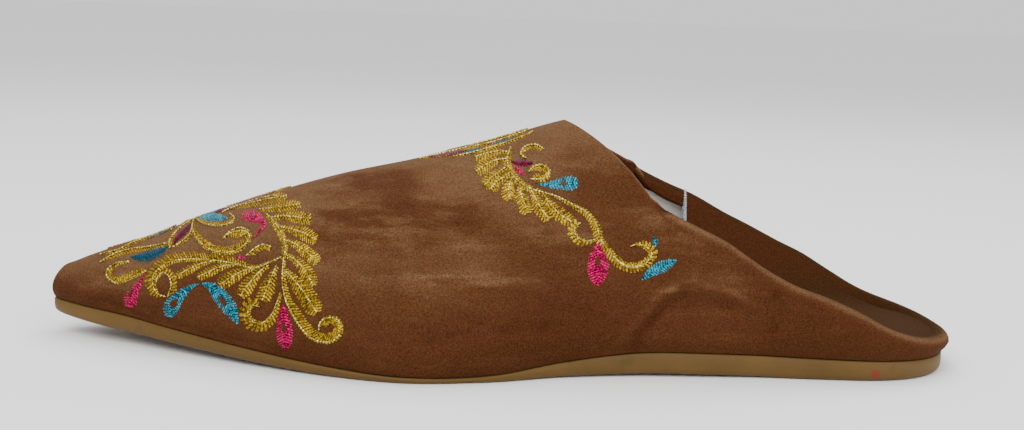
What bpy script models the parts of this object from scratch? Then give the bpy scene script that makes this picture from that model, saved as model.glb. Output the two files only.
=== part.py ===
"""Babouche slipper, the left shoe of a pair: rubber outsole, velvet upper, insole.

Metres, +Z up, floor at Z = 0. The toe points to -X and the outer side of the foot to -Y.
The origin is on the floor, under the middle of the heel seat.
A share runs along the sole, 0 at the tip of the toe and 1 at the back of the heel.
The upper is one wall: closed over the toes, open at the throat, and folded down and in
over the heel seat, where it lies on the insole.
"""
import math
from collections import namedtuple

import bpy
import numpy as np

# Driving sizes of the last
LENGTH = 0.257              # sole, toe to heel
BALL_WIDTH = 0.092          # sole, widest place
HEEL_WIDTH = 0.066          # sole, under the heel
INSTEP_HEIGHT = 0.066       # floor to the top of the throat
HEEL_HEIGHT = 0.0105        # floor to the crest of the folded heel, at the back
COLLAR_HEIGHT = 0.050       # floor to the collar, where the fold begins
TOE_SWING = 0.004           # toe's tip towards the inner side
TOE_SPRING = 0.0058         # rise of the sole under the tip
ARCH_RISE = 0.0008          # rise of the sole under the waist
NOSE_HEIGHT = 0.0075        # blunt front of the toe, above the sole
NOSE_LEAN = 0.0030          # how far its top lies behind its foot

# Outsole
SOLE_EDGE = 0.006           # edge of the sole at the waist, its full height
SOLE_ROUND = 0.0018         # radius of its lower edge

# Upper
WALL = 0.002                # velvet, backing and lining together
OVERHANG = 0.0016           # how far the upper swells past the edge of the sole
SWELL_HEIGHT = 0.003        # height over which it swells
FOLD_RADIUS = 0.0026        # outside of the folded edge
LIP = 0.0018                # turned-in strip between the throat and the folded heel
EDGE_BAND = 0.0012          # narrow strip of mesh along the throat's corners
FLAP_SQUARENESS = 5.0       # how closely the folded back follows the side walls

# Insole
INSOLE_THICKNESS = 0.0020

# Clearances
GAP = 0.0003                # between pieces that touch
INSOLE_GAP = 0.0006         # between the insole's edge and the wall

# Shares where something begins or ends
HEEL_SEAT = 0.87
THROAT_PEAK = 0.565
THROAT_CORNER = 0.65
FLAP_SIDE = 0.722
FLAP_MIDDLE = 0.775
TURN_SPAN = 0.032           # the collar turns in over this share, behind the throat's corner
LIP_SPAN = 0.055            # and its lip reaches full length over this one
SPRING_START = 0.36
ARCH_START = 0.50
ARCH_END = 0.84
TOE_ROUND = 0.07            # rounded end of the outline, at the toe
HEEL_ROUND = 0.13           # and at the heel
TOE_EXPONENT = 2.0
HEEL_EXPONENT = 2.4
SPRING_EXPONENT = 1.6
THROAT_OUTER = 1.7          # how round the throat's edge is on the outer side, seen from above
THROAT_INNER = 2.6          # and on the inner side
WAIST_START = 0.50          # the width changes from the ball's to the heel's
WAIST_END = 0.80
NOSE_END = 0.08
SWING_END = 0.40
BAND_START = 0.45           # the narrow strip sets in here, as a part of the vamp

# Spacing of the vamp's rows, closer near the toe
BASE_EXPONENT = 1.6
RIDGE_EXPONENT = 1.45

# Limits
ROUND_LIMIT = 0.55          # rounded lower edge, share of the edge's height
LIP_LIMIT = 0.2             # lip, share of what is folded in
NORMAL_STEP = 0.0015        # share used to find the outline's direction
WELD_STEP = 2e-6            # points closer than this are one

# Mesh steps
VAMP_ROWS = 17
COLLAR_ROWS = 9
HEEL_ROWS = 13
WALL_COLUMNS = 8
FOLD_COLUMNS = 4
LIP_COLUMNS = 2
TOP_COLUMNS = 18
OUTLINE_STEPS = 52
CURVE_SAMPLES = 241

Station = namedtuple("Station", "share outer inner edge crown full swell")
# outer, inner: half widths of the sole, shares of the width there (BALL_WIDTH or HEEL_WIDTH)
# edge: height of the sole's edge, share of SOLE_EDGE
# crown: top of the last above the floor, share of INSTEP_HEIGHT
# full: fullness of the section, 2 is an ellipse
# swell: how far the upper swells past the sole, share of OVERHANG
STATIONS = (
    Station(0.00, 0.075, 0.080, 0.70, 0.270, 2.10, 1.1),
    Station(0.03, 0.100, 0.105, 0.75, 0.300, 2.10, 1.0),
    Station(0.08, 0.150, 0.160, 0.80, 0.385, 2.05, 1.0),
    Station(0.15, 0.245, 0.260, 0.72, 0.505, 2.00, 1.0),
    Station(0.24, 0.370, 0.370, 0.60, 0.640, 1.95, 1.0),
    Station(0.32, 0.460, 0.440, 0.44, 0.740, 1.90, 1.0),
    Station(0.40, 0.512, 0.484, 0.27, 0.815, 1.90, 1.0),
    Station(0.48, 0.485, 0.465, 0.30, 0.900, 1.90, 1.0),
    Station(0.56, 0.425, 0.410, 0.68, 1.000, 1.95, 0.8),
    Station(0.64, 0.430, 0.392, 0.97, 1.070, 2.10, 0.7),
    Station(0.72, 0.475, 0.411, 1.00, 1.140, 2.30, 0.7),
    Station(0.80, 0.497, 0.452, 1.00, 1.180, 2.50, 0.9),
    Station(0.87, 0.505, 0.474, 0.95, 1.200, 2.60, 1.2),
    Station(1.00, 0.505, 0.485, 0.85, 1.200, 2.60, 2.0),
)

Rim = namedtuple("Rim", "share outer inner")
# outer, inner: crest of each wall above the floor, 0 at HEEL_HEIGHT and 1 at COLLAR_HEIGHT
RIMS = (
    Rim(0.650, 0.93, 1.07),
    Rim(0.680, 0.83, 0.97),
    Rim(0.700, 0.77, 0.91),
    Rim(0.730, 0.68, 0.83),
    Rim(0.773, 0.50, 0.68),
    Rim(0.802, 0.40, 0.59),
    Rim(0.842, 0.31, 0.46),
    Rim(0.875, 0.22, 0.36),
    Rim(0.909, 0.11, 0.23),
    Rim(0.942, 0.04, 0.11),
    Rim(1.000, 0.00, 0.00),
)


def smooth(rows, name, share):
    """Smooth curve through one column of a table."""
    xs = np.array([row.share for row in rows])
    ys = np.array([getattr(row, name) for row in rows])
    steps = np.diff(xs)
    slopes = np.diff(ys) / steps
    inner = (slopes[:-1] * steps[1:] + slopes[1:] * steps[:-1]) / (steps[:-1] + steps[1:])
    tangents = np.concatenate([slopes[:1], inner, slopes[-1:]])
    share = np.clip(share, xs[0], xs[-1])
    k = np.clip(np.searchsorted(xs, share, side="right") - 1, 0, len(steps) - 1)
    t = (share - xs[k]) / steps[k]
    value = ys[k] * (1.0 + 2.0 * t) * (1.0 - t) ** 2 + ys[k + 1] * t * t * (3.0 - 2.0 * t)
    return value + steps[k] * (tangents[k] * t * (1.0 - t) ** 2 + tangents[k + 1] * t * t * (t - 1.0))


def ease(value):
    value = np.clip(value, 0.0, 1.0)
    return value * value * (3.0 - 2.0 * value)


def along(share):
    return (np.asarray(share, float) - HEEL_SEAT) * LENGTH


def end_round(share):
    """1 along the sole, falling to 0 at both ends as a rounded corner does."""
    toe = np.clip(1.0 - share / TOE_ROUND, 0.0, 1.0)
    heel = np.clip((share - 1.0 + HEEL_ROUND) / HEEL_ROUND, 0.0, 1.0)
    toe = (1.0 - toe ** TOE_EXPONENT) ** (1.0 / TOE_EXPONENT)
    return toe * (1.0 - heel ** HEEL_EXPONENT) ** (1.0 / HEEL_EXPONENT)


def outline(share, side):
    """Edge of the sole at a share: x, y. Side is -1 outside and 1 inside."""
    share = np.clip(np.asarray(share, float), 0.0, 1.0)
    name = "outer" if side < 0 else "inner"
    width = BALL_WIDTH + (HEEL_WIDTH - BALL_WIDTH) * ease((share - WAIST_START) / (WAIST_END - WAIST_START))
    half = smooth(STATIONS, name, share) * width * end_round(share)
    middle = TOE_SWING * np.clip(1.0 - share / SWING_END, 0.0, 1.0) ** 2
    return along(share), middle + side * half


def outline_normal(share, side):
    """Outward direction of the outline in the floor's plane."""
    low = np.clip(share - NORMAL_STEP, 0.0, 1.0)
    high = np.clip(share + NORMAL_STEP, 0.0, 1.0)
    ax, ay = outline(low, side)
    bx, by = outline(high, side)
    nx = -(by - ay) * side
    ny = (bx - ax) * side
    size = np.hypot(nx, ny)
    nx, ny = nx / size, ny / size
    # both sides share the same direction at the two tips
    tip = np.maximum(ease(1.0 - share / NORMAL_STEP), ease(1.0 - (1.0 - share) / NORMAL_STEP))
    toward = np.where(np.asarray(share) < 0.5, -1.0, 1.0)
    nx, ny = nx * (1.0 - tip) + toward * tip, ny * (1.0 - tip)
    size = np.hypot(nx, ny)
    return nx / size, ny / size


def bottom(share):
    """Height of the sole's underside."""
    share = np.asarray(share, float)
    spring = TOE_SPRING * np.clip(1.0 - share / SPRING_START, 0.0, 1.0) ** SPRING_EXPONENT
    waist = np.clip((share - ARCH_START) / (ARCH_END - ARCH_START), 0.0, 1.0)
    return spring + ARCH_RISE * np.sin(math.pi * waist) ** 2


def edge_height(share):
    return SOLE_EDGE * smooth(STATIONS, "edge", share)


def edge_round(share):
    """Height of the rounded lower edge, less than the radius where the edge is thin."""
    return np.minimum(SOLE_ROUND, ROUND_LIMIT * edge_height(share))


def sole_top(share):
    return bottom(share) + edge_height(share)


def seat(share):
    """Height of the insole's upper face."""
    return sole_top(share) + GAP + INSOLE_THICKNESS


def section(share):
    """Foot, height and power of the last's section at a share."""
    base = sole_top(share) + GAP
    height = np.maximum(smooth(STATIONS, "crown", share) * INSTEP_HEIGHT - base, NOSE_HEIGHT)
    return base, height, 2.0 / smooth(STATIONS, "full", share)


def last_point(share, angle):
    """Outer face of the upper. Angle runs from 0 at the outer sole edge over the top to pi."""
    share = np.asarray(share, float)
    outer_x, outer_y = outline(share, -1)
    inner_x, inner_y = outline(share, 1)
    base, height, power = section(share)
    middle = 0.5 * (outer_y + inner_y)
    half = np.maximum(0.5 * (inner_y - outer_y) - GAP, 0.0)
    across = np.sign(np.cos(angle)) * np.abs(np.cos(angle)) ** power
    rise = height * np.abs(np.sin(angle)) ** power
    near = outline_normal(share, -1)
    far = outline_normal(share, 1)
    swell = OVERHANG * smooth(STATIONS, "swell", share) + GAP
    swell = swell * (1.0 - np.exp(-rise / SWELL_HEIGHT)) * np.abs(np.cos(angle))
    nx = np.where(angle < math.pi / 2, near[0], far[0])
    ny = np.where(angle < math.pi / 2, near[1], far[1])
    lean = NOSE_LEAN * (rise / height) ** 2 * (1.0 - ease(share / NOSE_END))
    return np.stack([outer_x + nx * swell + lean, middle - half * across + ny * swell, base + rise], axis=-1)


def crest(share, side):
    """Height of the collar, and of the folded heel behind it."""
    name = "outer" if side < 0 else "inner"
    return HEEL_HEIGHT + (COLLAR_HEIGHT - HEEL_HEIGHT) * smooth(RIMS, name, share)


def corner_angle(side):
    """Place around the section where the throat's edge meets the collar, from that side's foot."""
    base, height, power = section(THROAT_CORNER)
    return math.asin(((crest(THROAT_CORNER, side) - base) / height) ** (1.0 / power))


def resample(points, places):
    """Points at the given lengths along a polyline."""
    steps = np.linalg.norm(np.diff(points, axis=0), axis=1)
    lengths = np.concatenate([[0.0], np.cumsum(steps)])
    return np.stack([np.interp(places, lengths, points[:, k]) for k in range(3)], axis=1)


def length_of(points):
    return np.linalg.norm(np.diff(points, axis=0), axis=1).sum()


def vamp_row(part):
    """One row of the closed front: part is 0 at the toe's tip and 1 at the throat's edge."""
    near_corner = corner_angle(-1)
    far_corner = math.pi - corner_angle(1)
    angles = np.sort(np.concatenate([np.linspace(0.0, math.pi, CURVE_SAMPLES), [near_corner, far_corner]]))
    base = THROAT_CORNER * part ** BASE_EXPONENT
    ridge = THROAT_PEAK * part ** RIDGE_EXPONENT
    # the row leans forward to the ridge, as the throat's edge does
    outside = angles < math.pi / 2
    limit = np.where(outside, math.cos(near_corner), -math.cos(far_corner))
    power = np.where(outside, THROAT_OUTER, THROAT_INNER)
    reach = np.clip(np.abs(np.cos(angles)) / limit, 0.0, 1.0) ** power
    points = last_point(ridge + (base - ridge) * reach, angles)
    near = side_columns(points[angles <= near_corner], part)
    far = side_columns(points[angles >= far_corner][::-1], part)[::-1]
    top = points[(angles >= near_corner) & (angles <= far_corner)]
    between = resample(top, np.linspace(0.0, length_of(top), TOP_COLUMNS + 1))[1:-1]
    return np.concatenate([near, between, far])


def side_columns(points, part):
    """Even steps up the side at the toe, and a narrow last strip near the throat's corner."""
    whole = length_of(points)
    turned = FOLD_COLUMNS + LIP_COLUMNS
    even = whole * turned / (WALL_COLUMNS + turned)
    band = even + (EDGE_BAND - even) * ease((part - BAND_START) / (1.0 - BAND_START))
    wall = np.linspace(0.0, whole - band, WALL_COLUMNS + 1)
    edge = np.linspace(whole - band, whole, turned + 1)[1:]
    return resample(points, np.concatenate([wall, edge]))


def flap_rest(share):
    """Height of the folded back where it lies on the insole, at its upper face."""
    return seat(share) + GAP + WALL


def behind_corner(share, span):
    """0 at the throat's corner, 1 from a span behind it."""
    return ease((share - THROAT_CORNER) / span)


def fold_turn(share, side):
    """Angle of the fold: half a turn over a high wall, less where the flap leaves it level."""
    drop = crest(share, side) - flap_rest(share)
    level = math.asin(min(max(1.0 - drop / FOLD_RADIUS, 0.0), 1.0))
    return (math.pi - level) * behind_corner(share, TURN_SPAN)


def wall_curve(share, side):
    """Outer face of one side wall, from the sole up to where its edge starts to turn in."""
    angles = np.linspace(0.0, math.pi / 2, CURVE_SAMPLES)
    if side > 0:
        angles = math.pi - angles
    points = last_point(np.full(len(angles), share), angles)
    turn = min(fold_turn(share, side), math.pi / 2)
    limit = crest(share, side) - FOLD_RADIUS * math.sin(turn)
    heights = points[:, 2]
    count = int(np.searchsorted(heights, limit))
    t = (limit - heights[count - 1]) / (heights[count] - heights[count - 1])
    last = points[count - 1] + (points[count] - points[count - 1]) * t
    return np.concatenate([points[:count], [last]])


def fold_curve(share, side, start):
    """Turn from the top of the wall to its inside, then the straight lip."""
    nx, ny = outline_normal(share, side)
    turn = fold_turn(share, side)
    turns = np.linspace(0.0, turn, FOLD_COLUMNS + 1)
    lip = LIP * behind_corner(share, LIP_SPAN) * np.linspace(0.0, 1.0, LIP_COLUMNS + 1)[1:]
    inward = np.concatenate([
        FOLD_RADIUS * (1.0 - np.cos(turns)),
        FOLD_RADIUS * (1.0 - math.cos(turn)) + lip * math.sin(turn),
    ])
    upward = np.concatenate([
        FOLD_RADIUS * np.sin(turns),
        FOLD_RADIUS * math.sin(turn) + lip * math.cos(turn),
    ])
    return np.stack([start[0] - nx * inward, start[1] - ny * inward, start[2] + upward], axis=1)


def flap_curve(share, near, far):
    """The folded back between the insides of both walls, with its front edge set back."""
    across = np.linspace(-1.0, 1.0, CURVE_SAMPLES)
    blend = 0.5 * (across + 1.0)
    y = near[1] + (far[1] - near[1]) * blend
    setback = (FLAP_MIDDLE - FLAP_SIDE) * LENGTH * np.clip((1.0 - share) / (1.0 - FLAP_SIDE), 0.0, 1.0)
    behind = setback * (1.0 - across ** 2) ** 2
    x = near[0] + (far[0] - near[0]) * blend + behind
    rest = flap_rest(share + behind / LENGTH)
    ends = near[2] + (far[2] - near[2]) * blend
    z = rest + (ends - rest) * np.abs(across) ** FLAP_SQUARENESS
    return np.stack([x, y, z], axis=1)


def rear_row(share):
    """One row behind the throat's corners: walls, folds and what is folded in."""
    halves = {}
    for side in (-1, 1):
        wall = wall_curve(share, side)
        steps = np.linspace(0.0, length_of(wall), WALL_COLUMNS + 1)
        fold = fold_curve(share, side, wall[-1])
        halves[side] = np.concatenate([resample(wall, steps), fold[1:]])
    ends = WALL_COLUMNS + FOLD_COLUMNS
    inside = flap_curve(share, halves[-1][ends], halves[1][ends])
    total = length_of(inside)
    lip = min(LIP, LIP_LIMIT * total)
    if share >= FLAP_SIDE:
        steps = np.linspace(0.0, lip, LIP_COLUMNS + 1)[1:]
        halves[-1][ends + 1:] = resample(inside, steps)
        halves[1][ends + 1:] = resample(inside[::-1], steps)
    between = resample(inside, np.linspace(lip, total - lip, TOP_COLUMNS + 1))[1:-1]
    return np.concatenate([halves[-1], between, halves[1][::-1]])


def upper_grid():
    """Rows of the upper's outer face, and the cells that stay open at the throat."""
    rows = [vamp_row(k / VAMP_ROWS) for k in range(VAMP_ROWS + 1)]
    for k in range(1, COLLAR_ROWS + 1):
        rows.append(rear_row(THROAT_CORNER + (FLAP_SIDE - THROAT_CORNER) * k / COLLAR_ROWS))
    for k in range(1, HEEL_ROWS + 1):
        rows.append(rear_row(FLAP_SIDE + (1.0 - FLAP_SIDE) * math.sin(0.5 * math.pi * k / HEEL_ROWS)))
    for tip in (rows[0], rows[-1]):
        half = len(tip) // 2
        tip[half + 1:] = tip[:half][::-1]
    side = WALL_COLUMNS + FOLD_COLUMNS + LIP_COLUMNS
    open_rows = range(VAMP_ROWS, VAMP_ROWS + COLLAR_ROWS)
    open_columns = range(side, side + TOP_COLUMNS)
    return np.array(rows), open_rows, open_columns


def material(name, colour, roughness):
    made = bpy.data.materials.new(name)
    made.use_nodes = True
    shader = made.node_tree.nodes["Principled BSDF"]
    shader.inputs["Base Color"].default_value = (*colour, 1.0)
    shader.inputs["Roughness"].default_value = roughness
    return made


def add_object(name, vertices, faces, finish):
    mesh = bpy.data.meshes.new(name)
    mesh.from_pydata([tuple(v) for v in vertices], [], faces)
    mesh.validate()
    piece = bpy.data.objects.new(name, mesh)
    bpy.context.scene.collection.objects.link(piece)
    mesh.materials.append(finish)
    mesh.shade_smooth()
    return piece


def weld(points, faces):
    """Join points that coincide and drop the faces that this closes up."""
    index, kept, places = {}, [], []
    for point in points:
        key = tuple(int(round(value / WELD_STEP)) for value in point)
        if key not in index:
            index[key] = len(kept)
            kept.append(point)
        places.append(index[key])
    clean = []
    for face in faces:
        loop = []
        for corner in face:
            if places[corner] not in loop:
                loop.append(places[corner])
        if len(loop) > 2:
            clean.append(loop)
    return kept, clean


def build_upper():
    rows, open_rows, open_columns = upper_grid()
    count = rows.shape[1]
    faces = []
    for i in range(len(rows) - 1):
        for j in range(count - 1):
            if i in open_rows and j in open_columns:
                continue
            a = i * count + j
            faces.append([a, a + count, a + count + 1, a + 1])
    points, faces = weld(rows.reshape(-1, 3), faces)
    used = sorted({corner for face in faces for corner in face})
    place = {old: new for new, old in enumerate(used)}
    faces = [[place[corner] for corner in face] for face in faces]
    velvet = material("brown_velvet", (0.17, 0.065, 0.022), 0.9)
    piece = add_object("upper", [points[k] for k in used], faces, velvet)
    wall = piece.modifiers.new("wall", "SOLIDIFY")
    wall.thickness = WALL
    wall.offset = -1.0
    wall.use_rim = True
    wall.use_quality_normals = True
    return piece


def ring(inset, height):
    """Closed ring of points around the sole, inset from its outline, at a height rule."""
    shares = 0.5 - 0.5 * np.cos(np.linspace(0.0, math.pi, OUTLINE_STEPS + 1))
    sides = []
    for side in (-1, 1):
        x, y = outline(shares, side)
        nx, ny = outline_normal(shares, side)
        sides.append(np.stack([x - nx * inset, y - ny * inset, height(shares)], axis=1))
    return np.concatenate([sides[0], sides[1][1:-1][::-1]])


def plate(name, levels, finish):
    """Solid between rings of an outline; each level is an inset and a height rule."""
    rings = [ring(inset, height) for inset, height in levels]
    count = len(rings[0])
    faces = []
    for k in range(len(rings) - 1):
        for j in range(count):
            a, b = k * count + j, k * count + (j + 1) % count
            faces.append([a, b, b + count, a + count])
    top = (len(rings) - 1) * count
    for k in range(OUTLINE_STEPS):
        near, near_next = k, k + 1
        far, far_next = (count - k) % count, (count - k - 1) % count
        loop = [near, near_next, far_next, far]
        loop = [corner for place, corner in enumerate(loop) if corner not in loop[:place]]
        faces.append(loop[::-1])
        faces.append([top + corner for corner in loop])
    return add_object(name, np.concatenate(rings), faces, finish)


def build_outsole():
    gum = material("gum_rubber", (0.17, 0.11, 0.035), 0.55)
    levels = []
    for turn in (0.0, 30.0, 60.0, 90.0):
        inset = SOLE_ROUND * (1.0 - math.sin(math.radians(turn)))
        lift = 1.0 - math.cos(math.radians(turn))
        levels.append((inset, lambda s, lift=lift: bottom(s) + lift * edge_round(s)))
    levels.append((0.0, sole_top))
    return plate("outsole", levels, gum)


def build_insole():
    sock = material("pale_sock", (0.45, 0.40, 0.33), 0.8)
    inset = GAP + WALL + INSOLE_GAP
    levels = [(inset, lambda s: sole_top(s) + GAP), (inset, seat)]
    return plate("insole", levels, sock)


def main():
    for old in list(bpy.data.objects):
        bpy.data.objects.remove(old, do_unlink=True)
    build_outsole()
    build_insole()
    build_upper()


main()
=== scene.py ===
"""Looks of the babouche slipper: velvet upper with metallic embroidery, gum sole, pale lining.

Metres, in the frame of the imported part: the toe points to -X, the outer side of the foot to -Y,
+Z is up. The surface functions are those of the part, at a finer step.
"""
import math
from collections import namedtuple

import bpy
import numpy as np
from mathutils import Matrix, Vector
from mathutils.bvhtree import BVHTree
from mathutils.kdtree import KDTree


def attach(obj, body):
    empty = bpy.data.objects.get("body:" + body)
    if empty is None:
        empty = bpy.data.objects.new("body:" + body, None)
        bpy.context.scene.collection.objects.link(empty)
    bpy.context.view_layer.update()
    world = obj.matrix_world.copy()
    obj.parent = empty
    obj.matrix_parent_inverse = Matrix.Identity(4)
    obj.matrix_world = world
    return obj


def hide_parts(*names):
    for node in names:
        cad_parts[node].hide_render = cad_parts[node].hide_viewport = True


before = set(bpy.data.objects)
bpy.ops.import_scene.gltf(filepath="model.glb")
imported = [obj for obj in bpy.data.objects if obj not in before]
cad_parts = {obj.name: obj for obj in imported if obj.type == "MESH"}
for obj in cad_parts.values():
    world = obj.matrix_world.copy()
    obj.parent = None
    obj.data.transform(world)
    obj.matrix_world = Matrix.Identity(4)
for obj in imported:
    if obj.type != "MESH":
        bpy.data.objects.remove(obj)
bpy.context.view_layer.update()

SEED = 7
rng = np.random.default_rng(SEED)

# Driving sizes of the last
LENGTH = 0.257              # sole, toe to heel
BALL_WIDTH = 0.092          # sole, widest place
HEEL_WIDTH = 0.066          # sole, under the heel
INSTEP_HEIGHT = 0.066       # floor to the top of the throat
HEEL_HEIGHT = 0.0105        # floor to the crest of the folded heel, at the back
COLLAR_HEIGHT = 0.050       # floor to the collar, where the fold begins
TOE_SWING = 0.004           # toe's tip towards the inner side
TOE_SPRING = 0.0058         # rise of the sole under the tip
ARCH_RISE = 0.0008          # rise of the sole under the waist
NOSE_HEIGHT = 0.0075        # blunt front of the toe, above the sole
NOSE_LEAN = 0.0030          # how far its top lies behind its foot

# Outsole
SOLE_EDGE = 0.006           # edge of the sole at the waist, its full height
SOLE_ROUND = 0.0018         # radius of its lower edge

# Upper
WALL = 0.002                # velvet, backing and lining together
OVERHANG = 0.0016           # how far the upper swells past the edge of the sole
SWELL_HEIGHT = 0.003        # height over which it swells
FOLD_RADIUS = 0.0026        # outside of the folded edge
LIP = 0.0018                # turned-in strip between the throat and the folded heel
EDGE_BAND = 0.0012          # narrow strip of mesh along the throat's corners
FLAP_SQUARENESS = 5.0       # how closely the folded back follows the side walls

# Insole
INSOLE_THICKNESS = 0.0020

# Clearances
GAP = 0.0003                # between pieces that touch
INSOLE_GAP = 0.0006         # between the insole's edge and the wall

# Shares where something begins or ends
HEEL_SEAT = 0.87
THROAT_PEAK = 0.565
THROAT_CORNER = 0.65
FLAP_SIDE = 0.722
FLAP_MIDDLE = 0.775
TURN_SPAN = 0.032           # the collar turns in over this share, behind the throat's corner
LIP_SPAN = 0.055            # and its lip reaches full length over this one
SPRING_START = 0.36
ARCH_START = 0.50
ARCH_END = 0.84
TOE_ROUND = 0.07            # rounded end of the outline, at the toe
HEEL_ROUND = 0.13           # and at the heel
TOE_EXPONENT = 2.0
HEEL_EXPONENT = 2.4
SPRING_EXPONENT = 1.6
THROAT_OUTER = 1.7          # how round the throat's edge is on the outer side, seen from above
THROAT_INNER = 2.6          # and on the inner side
WAIST_START = 0.50          # the width changes from the ball's to the heel's
WAIST_END = 0.80
NOSE_END = 0.08
SWING_END = 0.40
BAND_START = 0.45           # the narrow strip sets in here, as a part of the vamp

# Spacing of the vamp's rows, closer near the toe
BASE_EXPONENT = 1.6
RIDGE_EXPONENT = 1.45

# Limits
ROUND_LIMIT = 0.55          # rounded lower edge, share of the edge's height
LIP_LIMIT = 0.2             # lip, share of what is folded in
NORMAL_STEP = 0.0015        # share used to find the outline's direction
WELD_STEP = 2e-6            # points closer than this are one

# Mesh steps
VAMP_ROWS = 110
COLLAR_ROWS = 36
HEEL_ROWS = 56
WALL_COLUMNS = 36
FOLD_COLUMNS = 8
LIP_COLUMNS = 6
TOP_COLUMNS = 80
OUTLINE_STEPS = 220
CURVE_SAMPLES = 241
CORNER_COLUMN = WALL_COLUMNS + FOLD_COLUMNS + LIP_COLUMNS

Station = namedtuple("Station", "share outer inner edge crown full swell")
# outer, inner: half widths of the sole, shares of the width there (BALL_WIDTH or HEEL_WIDTH)
# edge: height of the sole's edge, share of SOLE_EDGE
# crown: top of the last above the floor, share of INSTEP_HEIGHT
# full: fullness of the section, 2 is an ellipse
# swell: how far the upper swells past the sole, share of OVERHANG
STATIONS = (
    Station(0.00, 0.075, 0.080, 0.70, 0.270, 2.10, 1.1),
    Station(0.03, 0.100, 0.105, 0.75, 0.300, 2.10, 1.0),
    Station(0.08, 0.150, 0.160, 0.80, 0.385, 2.05, 1.0),
    Station(0.15, 0.245, 0.260, 0.72, 0.505, 2.00, 1.0),
    Station(0.24, 0.370, 0.370, 0.60, 0.640, 1.95, 1.0),
    Station(0.32, 0.460, 0.440, 0.44, 0.740, 1.90, 1.0),
    Station(0.40, 0.512, 0.484, 0.27, 0.815, 1.90, 1.0),
    Station(0.48, 0.485, 0.465, 0.30, 0.900, 1.90, 1.0),
    Station(0.56, 0.425, 0.410, 0.68, 1.000, 1.95, 0.8),
    Station(0.64, 0.430, 0.392, 0.97, 1.070, 2.10, 0.7),
    Station(0.72, 0.475, 0.411, 1.00, 1.140, 2.30, 0.7),
    Station(0.80, 0.497, 0.452, 1.00, 1.180, 2.50, 0.9),
    Station(0.87, 0.505, 0.474, 0.95, 1.200, 2.60, 1.2),
    Station(1.00, 0.505, 0.485, 0.85, 1.200, 2.60, 2.0),
)

Rim = namedtuple("Rim", "share outer inner")
# outer, inner: crest of each wall above the floor, 0 at HEEL_HEIGHT and 1 at COLLAR_HEIGHT
RIMS = (
    Rim(0.650, 0.93, 1.07),
    Rim(0.680, 0.83, 0.97),
    Rim(0.700, 0.77, 0.91),
    Rim(0.730, 0.68, 0.83),
    Rim(0.773, 0.50, 0.68),
    Rim(0.802, 0.40, 0.59),
    Rim(0.842, 0.31, 0.46),
    Rim(0.875, 0.22, 0.36),
    Rim(0.909, 0.11, 0.23),
    Rim(0.942, 0.04, 0.11),
    Rim(1.000, 0.00, 0.00),
)


def smooth(rows, name, share):
    """Smooth curve through one column of a table."""
    xs = np.array([row.share for row in rows])
    ys = np.array([getattr(row, name) for row in rows])
    steps = np.diff(xs)
    slopes = np.diff(ys) / steps
    inner = (slopes[:-1] * steps[1:] + slopes[1:] * steps[:-1]) / (steps[:-1] + steps[1:])
    tangents = np.concatenate([slopes[:1], inner, slopes[-1:]])
    share = np.clip(share, xs[0], xs[-1])
    k = np.clip(np.searchsorted(xs, share, side="right") - 1, 0, len(steps) - 1)
    t = (share - xs[k]) / steps[k]
    value = ys[k] * (1.0 + 2.0 * t) * (1.0 - t) ** 2 + ys[k + 1] * t * t * (3.0 - 2.0 * t)
    return value + steps[k] * (tangents[k] * t * (1.0 - t) ** 2 + tangents[k + 1] * t * t * (t - 1.0))


def ease(value):
    value = np.clip(value, 0.0, 1.0)
    return value * value * (3.0 - 2.0 * value)


def along(share):
    return (np.asarray(share, float) - HEEL_SEAT) * LENGTH


def end_round(share):
    """1 along the sole, falling to 0 at both ends as a rounded corner does."""
    toe = np.clip(1.0 - share / TOE_ROUND, 0.0, 1.0)
    heel = np.clip((share - 1.0 + HEEL_ROUND) / HEEL_ROUND, 0.0, 1.0)
    toe = (1.0 - toe ** TOE_EXPONENT) ** (1.0 / TOE_EXPONENT)
    return toe * (1.0 - heel ** HEEL_EXPONENT) ** (1.0 / HEEL_EXPONENT)


def outline(share, side):
    """Edge of the sole at a share: x, y. Side is -1 outside and 1 inside."""
    share = np.clip(np.asarray(share, float), 0.0, 1.0)
    name = "outer" if side < 0 else "inner"
    width = BALL_WIDTH + (HEEL_WIDTH - BALL_WIDTH) * ease((share - WAIST_START) / (WAIST_END - WAIST_START))
    half = smooth(STATIONS, name, share) * width * end_round(share)
    middle = TOE_SWING * np.clip(1.0 - share / SWING_END, 0.0, 1.0) ** 2
    return along(share), middle + side * half


def outline_normal(share, side):
    """Outward direction of the outline in the floor's plane."""
    low = np.clip(share - NORMAL_STEP, 0.0, 1.0)
    high = np.clip(share + NORMAL_STEP, 0.0, 1.0)
    ax, ay = outline(low, side)
    bx, by = outline(high, side)
    nx = -(by - ay) * side
    ny = (bx - ax) * side
    size = np.hypot(nx, ny)
    nx, ny = nx / size, ny / size
    # both sides share the same direction at the two tips
    tip = np.maximum(ease(1.0 - share / NORMAL_STEP), ease(1.0 - (1.0 - share) / NORMAL_STEP))
    toward = np.where(np.asarray(share) < 0.5, -1.0, 1.0)
    nx, ny = nx * (1.0 - tip) + toward * tip, ny * (1.0 - tip)
    size = np.hypot(nx, ny)
    return nx / size, ny / size


def bottom(share):
    """Height of the sole's underside."""
    share = np.asarray(share, float)
    spring = TOE_SPRING * np.clip(1.0 - share / SPRING_START, 0.0, 1.0) ** SPRING_EXPONENT
    waist = np.clip((share - ARCH_START) / (ARCH_END - ARCH_START), 0.0, 1.0)
    return spring + ARCH_RISE * np.sin(math.pi * waist) ** 2


def edge_height(share):
    return SOLE_EDGE * smooth(STATIONS, "edge", share)


def edge_round(share):
    """Height of the rounded lower edge, less than the radius where the edge is thin."""
    return np.minimum(SOLE_ROUND, ROUND_LIMIT * edge_height(share))


def sole_top(share):
    return bottom(share) + edge_height(share)


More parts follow.
